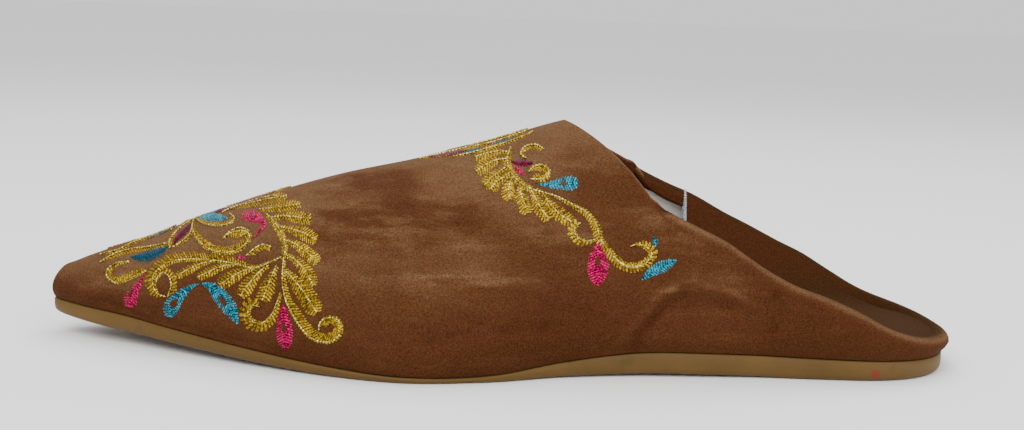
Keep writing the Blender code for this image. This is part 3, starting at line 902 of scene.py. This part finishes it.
def find_normals(points):
    """Outward directions of a grid of points, taken from one side beside the open throat."""
    normals = np.cross(np.gradient(points, axis=0), np.gradient(points, axis=1))
    normals /= np.maximum(np.linalg.norm(normals, axis=2, keepdims=True), TINY)
    if normals[VAMP_ROWS // 2, WALL_COLUMNS // 2, 1] > 0.0:
        normals = -normals
    front, back = VAMP_ROWS, VAMP_ROWS + COLLAR_ROWS
    far = CORNER_COLUMN + TOP_COLUMNS
    top = slice(CORNER_COLUMN, far + 1)
    normals[front, top] = normals[front - 1, top]
    normals[back, top] = normals[back + 1, top]
    normals[front + 1:back, CORNER_COLUMN] = normals[front + 1:back, CORNER_COLUMN - 1]
    normals[front + 1:back, far] = normals[front + 1:back, far + 1]
    return normals


class Skin:
    """The velvet's outer face as a grid: rows run round the foot, columns along it."""

    def __init__(self):
        rows, open_rows, open_columns = upper_grid()
        self.count = rows.shape[1]
        self.points, self.marks_and_crease_shade = raise_creases(rows, find_normals(rows))
        self.normals = find_normals(self.points)
        self.faces, self.cells = [], []
        for i in range(len(rows) - 1):
            for j in range(self.count - 1):
                if i in open_rows and j in open_columns:
                    continue
                a = i * self.count + j
                self.faces.append((a, a + self.count, a + self.count + 1, a + 1))
                self.cells.append((i, j))
        flat = self.points.reshape(-1, 3)
        self.tree = BVHTree.FromPolygons([tuple(p) for p in flat], self.faces)

    def cast(self, x, y):
        """Row and column hit by the ray through a pixel, or None."""
        hit, _, index, _ = self.tree.ray_cast(Vector(EYE), Vector(pixel_ray(x, y)))
        if hit is None:
            return None
        i, j = self.cells[index]
        corner = self.points[i, j]
        sides = np.stack([self.points[i + 1, j] - corner, self.points[i, j + 1] - corner], axis=1)
        part, *_ = np.linalg.lstsq(sides, np.array(hit) - corner, rcond=None)
        part = np.clip(part, 0.0, 1.0)
        return i + part[0], j + part[1]

    def at(self, places, height=0.0, mirrored=False):
        """Points over the skin at rows and columns, and their normals."""
        places = np.asarray(places, float)
        u, v = places[:, 0], places[:, 1]
        if mirrored:
            v = self.count - 1 - v
        i = np.clip(u.astype(int), 0, len(self.points) - 2)
        j = np.clip(v.astype(int), 0, self.count - 2)
        a, b = (u - i)[:, None], (v - j)[:, None]
        found = []
        for grid in (self.points, self.normals):
            found.append(grid[i, j] * (1 - a) * (1 - b) + grid[i + 1, j] * a * (1 - b)
                         + grid[i, j + 1] * (1 - a) * b + grid[i + 1, j + 1] * a * b)
        normal = found[1] / np.maximum(np.linalg.norm(found[1], axis=1, keepdims=True), 1e-9)
        return found[0] + normal * np.asarray(height, float).reshape(-1, 1), normal


# Columns of the grid where the painted shade of the folded part and the velvet hem begin
FOLD_SHADE_COLUMN = WALL_COLUMNS + FOLD_COLUMNS // 4
FOLD_SHADE_FADE = 3.0
HEM_COLUMN = WALL_COLUMNS - 2
HEM_SLOT = 2                # material of the hem's outside; its inside has the next one


def add_object(name, vertices, faces, *finishes):
    mesh = bpy.data.meshes.new(name)
    mesh.from_pydata([tuple(v) for v in vertices], [], [tuple(f) for f in faces])
    mesh.validate()
    piece = bpy.data.objects.new(name, mesh)
    bpy.context.scene.collection.objects.link(piece)
    for finish in finishes:
        mesh.materials.append(finish)
    mesh.shade_smooth()
    return piece


def set_tones(piece, tones):
    """Brightness of each stitch or bead, as a value on the mesh, with painted shade between stitches and
    beads and painted glints on the cord's beads.
    """
    values = piece.data.attributes.new("stitch", "FLOAT", "POINT").data
    values.foreach_set("value", np.asarray(tones, np.float32))


def settle(piece, node=None):
    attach(piece, "root")
    if node:
        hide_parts(node)
    return piece


def mark_velvet(piece, skin):
    """Values on the mesh for the velvet's tone marks with their painted crease shade, for the painted shade
    of the folded back, and the hem, where its inside is velvet too.
    """
    tree = KDTree(skin.points.shape[0] * skin.count)
    for k, point in enumerate(skin.points.reshape(-1, 3)):
        tree.insert(point, k)
    tree.balance()
    marks_and_crease_shades = piece.data.attributes.new("marks_and_crease_shade", "FLOAT", "POINT").data
    values = piece.data.attributes.new("fold_shade", "FLOAT", "POINT").data
    hemmed = set()
    for vertex, value, marks_and_crease_shade in zip(piece.data.vertices, values, marks_and_crease_shades):
        _, k, _ = tree.find(vertex.co)
        marks_and_crease_shade.value = skin.marks_and_crease_shade[k]
        row, column = divmod(k, skin.count)
        inward = min(column, skin.count - 1 - column)
        if VAMP_ROWS - 1 <= row < VAMP_ROWS + COLLAR_ROWS and inward >= HEM_COLUMN:
            hemmed.add(vertex.index)
        # painted shade: the folded back is marked to be painted darker, fading in over a few columns
        depth = (inward - FOLD_SHADE_COLUMN) / FOLD_SHADE_FADE
        value.value = 0.0 if row <= VAMP_ROWS else float(np.clip(depth, 0.0, 1.0))
    for face in piece.data.polygons:
        if hemmed.issuperset(face.vertices):
            face.material_index = HEM_SLOT


def mark_rim(mesh):
    """Sharp edges where the wall is cut, so its faces stay evenly lit up to there."""
    uses = np.zeros(len(mesh.edges), int)
    np.add.at(uses, [loop.edge_index for loop in mesh.loops], 1)
    for edge, count in zip(mesh.edges, uses):
        edge.use_edge_sharp = bool(count == 1)


def build_velvet(skin, finishes):
    points, faces = weld(skin.points.reshape(-1, 3), skin.faces)
    used = sorted({corner for face in faces for corner in face})
    place = {old: new for new, old in enumerate(used)}
    faces = [[place[corner] for corner in face] for face in faces]
    piece = add_object("velvet_upper", [points[k] for k in used], faces, *finishes)
    mark_velvet(piece, skin)
    mark_rim(piece.data)
    wall = piece.modifiers.new("wall", "SOLIDIFY")
    wall.thickness = WALL
    wall.offset = -1.0
    wall.use_rim = True
    wall.use_quality_normals = True
    wall.material_offset = 1
    wall.material_offset_rim = 0
    return settle(piece, "upper")


SOLE_TURNS = range(0, 91, 15)   # degrees round its lower edge
EDGE_BULGE = 0.0001         # how far the middle of the sole's edge stands out
EDGE_ROUND = 0.0002         # rounding of its upper edge
SOCK_BEVEL = 0.0006         # and of the sock's


def build_sole(finish):
    """Gum sole with a rounded lower edge."""
    levels = []
    for turn in SOLE_TURNS:
        inset = SOLE_ROUND * (1.0 - math.sin(math.radians(turn)))
        lift = 1.0 - math.cos(math.radians(turn))
        levels.append((inset, lambda s, lift=lift: bottom(s) + lift * edge_round(s)))
    levels.append((-EDGE_BULGE, lambda s: 0.5 * (bottom(s) + sole_top(s)) + 0.2 * edge_round(s)))
    levels.append((0.0, lambda s: sole_top(s) - EDGE_ROUND))
    levels.append((1.5 * EDGE_ROUND, sole_top))
    return settle(plate("gum_sole", levels, finish), "outsole")


def build_sock(finish):
    """Pale sock over the sole, with a rounded upper edge."""
    inset = GAP + WALL + INSOLE_GAP
    levels = [(inset, lambda s: sole_top(s) + GAP), (inset, lambda s: seat(s) - SOCK_BEVEL * 5 / 6),
              (inset + SOCK_BEVEL / 3, lambda s: seat(s) - SOCK_BEVEL / 6), (inset + SOCK_BEVEL, seat)]
    return settle(plate("pale_sock", levels, finish), "insole")


# Edges over the cut edge of the wall
# reach: half their width. proud: how far they stand out past the wall.
# pitch: length of one bead. ripple: how much thicker a bead is in its middle.
Edging = namedtuple("Edging", "name reach proud pitch ripple")
THROAT_EDGE = Edging("throat_edge", 0.0008, 0.0, 0.0012, 0.0)
HEEL_STITCH = Edging("heel_stitch", 0.0008, 0.0002, 0.0006, 0.10)
EDGE_SIDES = 12
EDGE_LEAST = 8              # fewest rings of an edge
EDGE_SHADE_TONES = (0.3, 1.0)     # brightness of its even and odd rings: the narrow even rings are painted shade between the beads
NORMAL_WINDOW = 9           # samples over which an edge's direction is evened out
PATH_WINDOW = 5             # and its path


def tube(path, across, lift, radii, sides):
    """Tube along a path, elliptical between two directions given at each point."""
    angles = np.linspace(0.0, 2.0 * math.pi, sides, endpoint=False)
    circle = np.cos(angles)[None, :, None] * across[:, None, :] * radii[:, 0][:, None, None]
    circle = circle + np.sin(angles)[None, :, None] * lift[:, None, :] * radii[:, 1][:, None, None]
    points = (path[:, None, :] + circle).reshape(-1, 3)
    last = (len(path) - 1) * sides
    faces = []
    for first in range(0, last, sides):
        for k in range(sides):
            after = (k + 1) % sides
            faces.append((first + k, first + after, first + sides + after, first + sides + k))
    faces.append(tuple(range(sides))[::-1])
    faces.append(tuple(range(last, last + sides)))
    return points, faces


def sideways(path, normals):
    """Directions across a path that runs on a surface."""
    across = np.cross(np.gradient(path, axis=0), normals)
    return across / np.maximum(np.linalg.norm(across, axis=1, keepdims=True), TINY)


def evened(points, window):
    """Samples averaged with their neighbours, with both ends kept."""
    rows = [np.pad(row, window // 2, mode="reflect", reflect_type="odd") for row in points.T]
    return np.stack([np.convolve(row, np.ones(window) / window, mode="valid") for row in rows], axis=1)


def edging(skin, edge, places, finish):
    """Rounded edge that follows rows and columns of the skin."""
    points, normals = skin.at(places)
    path = points - normals * WALL * 0.5
    lengths = distances(path)
    count = max(int(lengths[-1] / edge.pitch) * 2, EDGE_LEAST)
    wanted = np.linspace(0.0, lengths[-1], count)
    path = evened(interpolate(wanted, lengths, path), PATH_WINDOW)
    normals = evened(interpolate(wanted, lengths, normals), NORMAL_WINDOW)
    normals /= np.linalg.norm(normals, axis=1, keepdims=True)
    odd = np.arange(count) % 2
    wave = 1.0 + edge.ripple * np.where(odd, 1.0, -1.0)
    radii = np.stack([edge.reach * wave, (WALL * 0.5 + edge.proud) * wave], axis=1)
    points, faces = tube(path, sideways(path, normals), normals, radii, EDGE_SIDES)
    piece = add_object(edge.name, points, faces, finish)
    set_tones(piece, np.repeat(np.take(EDGE_SHADE_TONES, odd), EDGE_SIDES))
    return settle(piece)


def build_edges(skin, brown, silver):
    """Rounded edge of throat and collar, and the stitched edge of the folded back."""
    far_corner = skin.count - 1 - CORNER_COLUMN
    collar = range(VAMP_ROWS + 1, VAMP_ROWS + COLLAR_ROWS + 1)
    throat = [(row, CORNER_COLUMN) for row in reversed(collar)]
    throat += [(VAMP_ROWS, column) for column in range(CORNER_COLUMN, far_corner + 1)]
    throat += [(row, far_corner) for row in collar]
    edging(skin, THROAT_EDGE, throat, brown)
    end = skin.count - WALL_COLUMNS - FOLD_COLUMNS // 2
    back = [(VAMP_ROWS + COLLAR_ROWS, column) for column in range(CORNER_COLUMN, end)]
    edging(skin, HEEL_STITCH, back, silver)


# Embroidery. Its strokes were drawn on two enlargements of the photograph.
Enlargement = namedtuple("Enlargement", "left top scale")
TOE_VIEW = Enlargement(100.0, 170.0, 6.031)
THROAT_VIEW = Enlargement(410.0, 110.0, 5.058)

# thread: which yarn. shape: how the width runs along it.
# left, right: width of the stitches on either side of the line, in the enlargement's pixels.
Stroke = namedtuple("Stroke", "thread shape left right points")

TOE_STROKES = (
    Stroke("gold", "band", 12, 16, (
        (560, 296), (640, 262), (760, 226), (900, 182), (1030, 140), (1130, 106),
    )),
    Stroke("wine", "leaf", 12, 12, ((700, 258), (800, 223), (920, 186), (1045, 148))),
    Stroke("gold", "lobe", 20, 22, ((760, 232), (900, 205), (1010, 180), (1128, 160))),
    Stroke("gold", "lobe", 22, 24, ((960, 240), (1050, 232), (1130, 222), (1210, 210))),
    Stroke("gold", "lobe", 26, 26, ((1030, 290), (1110, 282), (1200, 290), (1275, 298))),
    Stroke("gold", "lobe", 27, 27, ((1085, 345), (1160, 360), (1230, 385), (1305, 425))),
    Stroke("gold", "lobe", 27, 27, ((1105, 420), (1180, 450), (1250, 500), (1315, 560))),
    Stroke("gold", "lobe", 26, 26, ((1110, 510), (1180, 545), (1240, 610), (1290, 700))),
    Stroke("gold", "lobe", 40, 36, ((1110, 600), (1170, 660), (1240, 750), (1310, 860))),
    Stroke("gold", "stem", 26, 14, ((1000, 262), (1060, 325), (1105, 400), (1122, 470), (1110, 540))),
    Stroke("gold", "curl", 12, 48, (
        (1110, 540), (1103, 620), (1105, 700), (1125, 790), (1165, 870), (1215, 950), (1275, 1010),
        (1340, 1035), (1400, 1030), (1445, 995), (1455, 945), (1435, 905), (1395, 890), (1350, 900),
        (1325, 930), (1322, 968),
    )),
    Stroke("gold", "curl", 40, 14, (
        (1100, 525), (1020, 562), (920, 592), (800, 562), (660, 545), (540, 540), (440, 552), (370, 590),
        (325, 640), (325, 700), (350, 745), (400, 765),
    )),
    Stroke("gold", "band", 30, 8, (
        (410, 770), (432, 700), (420, 645), (385, 620), (350, 650), (345, 680),
    )),
    Stroke("gold", "lobe", 16, 18, ((700, 548), (620, 565), (530, 605), (455, 648))),
    Stroke("gold", "lobe", 18, 20, ((830, 570), (750, 580), (660, 615), (590, 650))),
    Stroke("gold", "lobe", 26, 26, ((960, 585), (880, 605), (800, 645), (722, 696))),
    Stroke("gold", "lobe", 28, 28, ((1020, 575), (960, 620), (900, 690), (850, 762))),
    Stroke("gold", "lobe", 30, 30, ((1068, 575), (1040, 640), (1010, 715), (982, 786))),
    Stroke("gold", "band", 26, 6, ((885, 520), (930, 480), (985, 452), (1040, 468))),
    Stroke("gold", "curl", 12, 44, (
        (1090, 740), (1070, 800), (1040, 870), (990, 918), (935, 918), (898, 880), (900, 840),
        (925, 818), (968, 826),
    )),
    Stroke("gold", "curl", 12, 34, (
        (568, 295), (560, 360), (600, 430), (660, 478), (740, 500), (820, 490), (880, 450), (905, 405),
        (880, 372), (820, 375), (770, 392), (745, 418),
    )),
    Stroke("gold", "band", 34, 4, ((745, 415), (790, 372), (850, 350), (905, 372))),
    Stroke("gold", "band", 4, 22, (
        (575, 292), (630, 328), (720, 338), (790, 322), (812, 292), (785, 266),
    )),
    Stroke("gold", "band", 14, 14, ((425, 478), (422, 430), (470, 366), (548, 306))),
    Stroke("gold", "band", 14, 4, ((440, 470), (500, 430), (548, 380), (560, 330))),
    Stroke("gold", "band", 20, 8, ((0, 560), (90, 508), (200, 478), (310, 462), (420, 440))),
    Stroke("gold", "band", 10, 8, (
        (0, 512), (120, 480), (200, 440), (320, 395), (440, 345), (560, 290),
    )),
    Stroke("gold", "curl", 8, 34, (
        (180, 552), (95, 566), (45, 610), (52, 652), (110, 680), (190, 652), (290, 606),
    )),
    Stroke("shaded_teal", "leaf", 30, 30, ((182, 524), (250, 528), (330, 505), (412, 462))),
    Stroke("shaded_teal", "leaf", 8, 8, ((285, 416), (350, 388), (435, 352))),
    Stroke("wine", "leaf", 24, 24, ((445, 450), (478, 392), (548, 325))),
    Stroke("teal", "leaf", 23, 23, ((596, 290), (680, 286), (770, 292))),
    Stroke("pink", "drop", 36, 36, (
        (920, 418), (960, 370), (985, 325), (945, 285), (900, 278), (858, 276),
    )),
    Stroke("pink", "drop", 38, 38, ((275, 620), (240, 680), (200, 750), (172, 822))),
    Stroke("teal", "drop", 44, 44, ((612, 682), (550, 706), (480, 762), (430, 830), (420, 884))),
    Stroke("teal", "leaf", 42, 42, ((612, 682), (680, 712), (750, 790), (800, 860), (830, 932))),
    Stroke("pink", "leaf", 46, 46, ((1105, 808), (1108, 880), (1114, 970), (1120, 1084))),
    Stroke("pink", "leaf", 10, 10, ((815, 536), (848, 528), (880, 530))),
    Stroke("hole", "leaf", 9, 9, ((192, 716), (186, 742), (180, 768))),
    Stroke("hole", "leaf", 20, 20, ((474, 776), (452, 804), (436, 826))),
    Stroke("hole", "leaf", 17, 17, ((722, 762), (748, 796), (760, 820))),
    Stroke("hole", "leaf", 14, 14, ((1106, 915), (1112, 955), (1118, 985))),
)

THROAT_STROKES = (
    Stroke("gold", "leaf", 9, 12, (
        (44, 248), (150, 224), (260, 198), (375, 176), (470, 150), (600, 104),
    )),
    Stroke("gold", "leaf", 8, 14, ((215, 240), (330, 214), (440, 182), (540, 148), (622, 112))),
    Stroke("wine", "leaf", 9, 9, ((95, 242), (190, 223), (290, 206))),
    Stroke("shaded_teal", "leaf", 12, 12, ((245, 228), (300, 213), (365, 192))),
    Stroke("shaded_teal", "leaf", 8, 8, ((395, 176), (460, 162), (528, 142))),
    Stroke("gold", "lobe", 20, 20, ((495, 215), (440, 212), (380, 226), (330, 242))),
    Stroke("gold", "lobe", 22, 22, ((495, 250), (440, 256), (390, 278), (336, 312))),
    Stroke("gold", "lobe", 22, 22, ((498, 285), (460, 310), (415, 345), (376, 385))),
    Stroke("gold", "lobe", 20, 20, ((508, 318), (480, 340), (440, 365), (408, 402))),
    Stroke("gold", "lobe", 23, 23, ((525, 335), (505, 375), (500, 415), (505, 455))),
    Stroke("gold", "lobe", 23, 23, ((555, 365), (560, 420), (575, 470), (596, 522))),
    Stroke("gold", "lobe", 23, 23, ((605, 392), (635, 450), (665, 505), (706, 552))),
    Stroke("gold", "lobe", 23, 23, ((670, 420), (710, 480), (760, 530), (820, 568))),
    Stroke("gold", "stem", 20, 20, (
        (510, 190), (495, 240), (500, 300), (540, 356), (600, 396), (660, 415),
    )),
    Stroke("gold", "curl", 26, 16, (
        (660, 415), (740, 438), (820, 478), (895, 522), (945, 590), (960, 650), (1000, 705), (1050, 760),
        (1110, 790), (1180, 780), (1220, 735), (1205, 700), (1155, 680), (1112, 690),
    )),
    Stroke("gold", "curl", 10, 26, (
        (955, 648), (905, 662), (860, 655), (830, 620), (835, 590), (862, 572),
    )),
    Stroke("gold", "band", 4, 22, ((1030, 745), (1090, 790), (1160, 792), (1215, 755))),
    Stroke("gold", "band", 18, 8, ((590, 248), (562, 225), (580, 190), (635, 178), (678, 202))),
    Stroke("gold", "band", 30, 10, (
        (600, 318), (625, 290), (670, 282), (702, 312), (682, 350), (610, 352),
    )),
    Stroke("wine", "leaf", 17, 17, ((510, 262), (560, 268), (622, 270))),
    Stroke("pink", "leaf", 12, 12, ((522, 285), (545, 300), (576, 330))),
    Stroke("teal", "drop", 34, 34, ((630, 372), (700, 378), (780, 372), (850, 368))),
    Stroke("pink", "leaf", 50, 50, ((957, 665), (952, 730), (950, 800), (945, 890))),
    Stroke("teal", "leaf", 26, 26, ((1168, 862), (1230, 815), (1350, 758))),
    Stroke("teal", "leaf", 13, 13, ((1232, 636), (1240, 662), (1240, 694))),
    Stroke("hole", "leaf", 12, 10, ((757, 380), (775, 374), (792, 372))),
    Stroke("hole", "leaf", 12, 12, ((952, 736), (950, 765), (948, 790))),
)

# Spacing and height of the stitches of each yarn
THREAD_PITCH = {"gold": 0.00082, "shaded_teal": 0.00070, "teal": 0.00070,
                "pink": 0.00070, "wine": 0.00070, "hole": 0.00070}
THREAD_HEIGHT = {"gold": 0.00030, "shaded_teal": 0.00034, "teal": 0.00034,
                 "pink": 0.00034, "wine": 0.00044, "hole": 0.00042}
STROKE_SAMPLES = 160
SPAN_SAMPLES = 24           # between two given points
FEWEST = 4                  # samples a stroke or a cord needs
FEWEST_THREADS = 3
PULLS = (1.0, 0.8, 0.6, 0.4, 0.2, 0.0)      # a stitch that misses the skin is shortened step by step
ACROSS = (-1.0, -0.8, -0.45, 0.0, 0.45, 0.8, 1.0)   # points along a stitch, shares of its half length
CREST_REACH = 1.14          # a stitch reaches past its stroke, and the gap beside it stops short
VALLEY_REACH = 0.86
RAGGED = 0.10               # stitches differ this much in length
STITCH_TONES = (0.30, 1.0)  # and this much in brightness
# painted shade in the grooves between two threads
GAP_SHADE_TONE = 0.05
DOME = 0.72                 # how much lower a stitch is at its ends, share of its height
VALLEY = 0.45               # height between two threads at the middle, share of a thread's
GROOVE = 0.00022            # how deep the gap between two threads dips at their ends
GROOVE_END = 0.7            # it is deepest from this share of the half length on
LEAN = 0.45                 # how far a stitch leans along its stroke, share of its length

# Widths along the strokes, as shares of their length or of their widest
LEAF_POWER = 0.75
DROP_WIDEST = 0.68
DROP_POWER = 1.1
LOBE_SPREAD = 1.35          # the leaves of the fans touch each other
LOBE_WIDEST = 0.78
LOBE_START = 0.35
LOBE_GROWTH = 0.6
STEM_START = 0.55
CURL_START = 0.25
CURL_GROWTH = 0.45
CURL_END = 0.12
BAND_END = 0.15

# Beaded cord along the middle of the gold strokes
CORD_RADIUS = 0.00021
CORD_SIDES = 6
CORD_PITCH = 0.00095        # one bead
CORD_STEP = 0.00024
CORD_MEAN = 0.9             # thickness of the beads, and how much it goes up and down
CORD_SWING = 0.35
FOOT_SIDES = ((False, "outer"), (True, "inner"))    # whether the embroidery is mirrored


def grown(part, start, growth):
    """Width that eases from its share at the start to the whole."""
    return start + (1.0 - start) * ease(part / growth)


def round_end(part, start):
    """Width that rounds off from a place along the stroke to its end."""
    away = np.clip(part - start, 0.0, 1.0) / (1.0 - start)
    return np.sqrt(np.clip(1.0 - away ** 2, 0.0, 1.0))


def widths(shape, part):
    """Width along a stroke, as a share of its widest."""
    if shape == "leaf":
        return np.sin(math.pi * np.clip(part, 0.0, 1.0)) ** LEAF_POWER
    if shape == "drop":
        return np.clip(part / DROP_WIDEST, 0.0, 1.0) ** DROP_POWER * round_end(part, DROP_WIDEST)
    if shape == "lobe":
        return LOBE_SPREAD * grown(part, LOBE_START, LOBE_GROWTH) * round_end(part, LOBE_WIDEST)
    if shape == "stem":
        return STEM_START + (1.0 - STEM_START) * np.sin(math.pi * part)
    if shape == "curl":
        return grown(part, CURL_START, CURL_GROWTH) * ease((1.0 - part) / CURL_END)
    return ease(part / BAND_END) * ease((1.0 - part) / BAND_END)


def curve_through(points, count):
    """Smooth curve through given points, in even steps."""
    points = np.array(points, float)
    ends = np.concatenate([[2 * points[0] - points[1]], points, [2 * points[-1] - points[-2]]])
    made = []
    for k in range(len(points) - 1):
        p0, p1, p2, p3 = ends[k:k + 4]
        for t in np.linspace(0.0, 1.0, SPAN_SAMPLES, endpoint=False):
            made.append(0.5 * ((2 * p1) + (p2 - p0) * t + (2 * p0 - 5 * p1 + 4 * p2 - p3) * t ** 2
                               + (3 * p1 - p0 - 3 * p2 + p3) * t ** 3))
    made.append(points[-1])
    made = np.array(made)
    return resample(made, np.linspace(0.0, distances(made)[-1], count))


Sewn = namedtuple("Sewn", "places heights faces tones")


class Needle:
    """Sews strokes on the skin and collects their meshes by yarn."""

    def __init__(self, skin):
        self.skin = skin
        self.yarns = {}
        self.cords = []

    def land(self, spot, centre):
        """Place on the skin under a pixel, pulled towards the stroke's own line where it misses."""
        for pull in PULLS:
            found = self.skin.cast(*(centre + (spot - centre) * pull))
            if found is not None:
                return found
        return None

    def sew(self, stroke, view):
        """Threads across a stroke. Each has two rows of points, with one lower row between threads."""
        line = curve_through(stroke.points, STROKE_SAMPLES) / view.scale + (view.left, view.top)
        seen = [(k, self.skin.cast(*line[k])) for k in range(len(line))]
        seen = [(k, found) for k, found in seen if found is not None]
        if len(seen) < FEWEST:
            return
        spots = np.array([found for _, found in seen])
        points, _ = self.skin.at(spots)
        lengths = distances(points)
        rows = 3 * max(int(lengths[-1] / THREAD_PITCH[stroke.thread]), FEWEST_THREADS) + 1
        wanted = np.linspace(0.0, lengths[-1], rows)
        centre = interpolate(wanted, lengths, line[[k for k, _ in seen]])
        direction = np.gradient(centre, axis=0)
        direction /= np.maximum(np.linalg.norm(direction, axis=1, keepdims=True), TINY)
        side = np.stack([direction[:, 1], -direction[:, 0]], axis=1)
        shape = widths(stroke.shape, wanted / lengths[-1])
        sewn = self.yarns.setdefault(stroke.thread, Sewn([], [], [], []))
        first = len(sewn.places)
        last_place = tuple(spots[0])
        ragged = bright = 1.0
        for row in range(rows):
            on_thread = row % 3 > 0
            if row % 3 == 1:
                ragged = 1.0 + RAGGED * rng.uniform(-1.0, 1.0)
                bright = rng.uniform(*STITCH_TONES)
            reach = shape[row] * (CREST_REACH * ragged if on_thread else VALLEY_REACH)
            for share in ACROSS:
                width = (stroke.left if share < 0 else stroke.right) / view.scale * reach
                lean = direction[row] * width * abs(share) * LEAN
                spot = centre[row] + side[row] * width * share + lean
                found = self.land(spot, centre[row])
                if found is None:
                    found = last_place
                last_place = found
                sewn.places.append(found)
                # each stitch has its own brightness; the grooves between them are painted shade
                sewn.tones.append(bright if on_thread else GAP_SHADE_TONE)
                sewn.heights.append(self.height(stroke.thread, share, on_thread))
        columns = len(ACROSS)
        for row in range(rows - 1):
            for k in range(columns - 1):
                a = first + row * columns + k
                sewn.faces.append((a, a + columns, a + columns + 1, a + 1))
        if stroke.thread == "gold":
            self.cords.append((spots, lengths))

    def height(self, yarn, share, on_thread):
        """Height over the skin at a place along a stitch or along the gap beside it."""
        if yarn == "hole":
            return THREAD_HEIGHT[yarn]
        dome = THREAD_HEIGHT[yarn] * (1.0 - DOME * share ** 2)
        return dome if on_thread else dome * VALLEY - GROOVE * ease(abs(share) / GROOVE_END)

    def lay_cords(self, mirrored):
        """Points, faces and tones of the cords on one side of the foot."""
        points, faces, tones = [], [], []
        for spots, lengths in self.cords:
            wanted = np.linspace(0.0, lengths[-1], max(int(lengths[-1] / CORD_STEP), FEWEST))
            path, normals = self.skin.at(interpolate(wanted, lengths, spots), THREAD_HEIGHT["gold"], mirrored)
            swing = np.cos(2.0 * math.pi * wanted / CORD_PITCH)
            radius = CORD_RADIUS * (CORD_MEAN - CORD_SWING * swing)
            radii = np.stack([radius, radius], axis=1)
            ring_points, ring_faces = tube(path, sideways(path, normals), normals, radii, CORD_SIDES)
            sparkle = rng.uniform(0.0, 1.0, int(lengths[-1] / CORD_PITCH) + 2)
            sparkle = sparkle[(wanted / CORD_PITCH).astype(int)]
            faces.extend(tuple(len(points) + corner for corner in face) for face in ring_faces)
            points.extend(ring_points)
            # painted glints: each bead is painted brighter at its middle, by a random amount, and darker at
            # its waist
            tones.extend(np.repeat(0.5 * (1.0 - swing) * sparkle, CORD_SIDES))
        return points, faces, tones

    def finish(self, finishes):
        """One piece for each yarn and side of the foot, and the cords."""
        for yarn, sewn in self.yarns.items():
            for mirrored, end in FOOT_SIDES:
                points, _ = self.skin.at(sewn.places, sewn.heights, mirrored)
                faces = sewn.faces if mirrored else [face[::-1] for face in sewn.faces]
                piece = add_object(f"{yarn}_stitches_{end}", points, faces, finishes[yarn])
                set_tones(piece, sewn.tones)
                settle(piece)
        for mirrored, end in FOOT_SIDES:
            points, faces, tones = self.lay_cords(mirrored)
            piece = add_object(f"gold_cord_{end}", points, faces, finishes["cord"])
            set_tones(piece, tones)
            settle(piece)


# Studio: a pale floor, white surroundings and lamps aimed at the shoe
Lamp = namedtuple("Lamp", "name place size power")
LAMPS = (
    Lamp("key", (-0.35, -0.75, 0.85), 0.8, 9.0),
    Lamp("fill", (0.7, -0.6, 0.5), 0.9, 4.0),
    Lamp("top", (0.0, 0.35, 1.0), 0.9, 6.0),
)
LAMP_TARGET = Vector((-0.10, 0.0, 0.03))
FLOOR_HALF = 60.0
FLOOR_CORNERS = ((-1, -1), (1, -1), (1, 1), (-1, 1))
FLOOR_ROUGHNESS = 0.9
FLOOR_CLOUD = Noise(3.0, 3.0)
FLOOR_STOPS = ((0.3, (0.94, 0.94, 0.94)), (0.7, (0.96, 0.96, 0.96)))
WORLD_COLOUR = (1.0, 1.0, 1.0, 1.0)
WORLD_STRENGTH = 1.0


def build_studio():
    floor = bpy.data.meshes.new("floor")
    corners = [(x * FLOOR_HALF, y * FLOOR_HALF, 0.0) for x, y in FLOOR_CORNERS]
    floor.from_pydata(corners, [], [(0, 1, 2, 3)])
    ground = bpy.data.objects.new("floor", floor)
    bpy.context.scene.collection.objects.link(ground)
    finish = Finish("pale_floor", FLOOR_ROUGHNESS)
    finish.colour(finish.ramp(finish.noise(FLOOR_CLOUD), FLOOR_STOPS))
    floor.materials.append(finish.material)
    for lamp in LAMPS:
        area = bpy.data.lights.new(lamp.name, "AREA")
        area.size = lamp.size
        area.energy = lamp.power
        light = bpy.data.objects.new(lamp.name, area)
        light.location = lamp.place
        light.rotation_euler = (LAMP_TARGET - Vector(lamp.place)).to_track_quat("-Z", "Y").to_euler()
        bpy.context.scene.collection.objects.link(light)
    world = bpy.data.worlds.new("studio")
    world.use_nodes = True
    background = world.node_tree.nodes["Background"]
    background.inputs["Color"].default_value = WORLD_COLOUR
    background.inputs["Strength"].default_value = WORLD_STRENGTH
    bpy.context.scene.world = world


def build_camera():
    right, up, forward = camera_axes()
    lens = bpy.data.cameras.new("camera")
    lens.sensor_width = SENSOR
    lens.lens = FOCAL * SENSOR / PICTURE_WIDTH
    lens.clip_start = NEAREST
    camera = bpy.data.objects.new("camera", lens)
    turn = Matrix((right, up, -forward)).transposed().to_4x4()
    camera.matrix_world = Matrix.Translation(EYE) @ turn
    bpy.context.scene.collection.objects.link(camera)
    bpy.context.scene.camera = camera


def main():
    brown = velvet()
    lining = pale("lining", LINING_STOPS, LINING_WEAVE)
    silver = metal_thread(SILVER)
    skin = Skin()
    build_velvet(skin, (brown, lining, brown, brown))
    build_sole(gum())
    build_sock(pale("sock", SOCK_STOPS, SOCK_WEAVE))
    build_edges(skin, brown, silver)
    needle = Needle(skin)
    for stroke in TOE_STROKES:
        needle.sew(stroke, TOE_VIEW)
    for stroke in THROAT_STROKES:
        needle.sew(stroke, THROAT_VIEW)
    finishes = {yarn: metal_thread(thread) for yarn, thread in THREADS.items()}
    finishes["hole"] = brown
    needle.finish(finishes)
    build_studio()
    build_camera()


main()
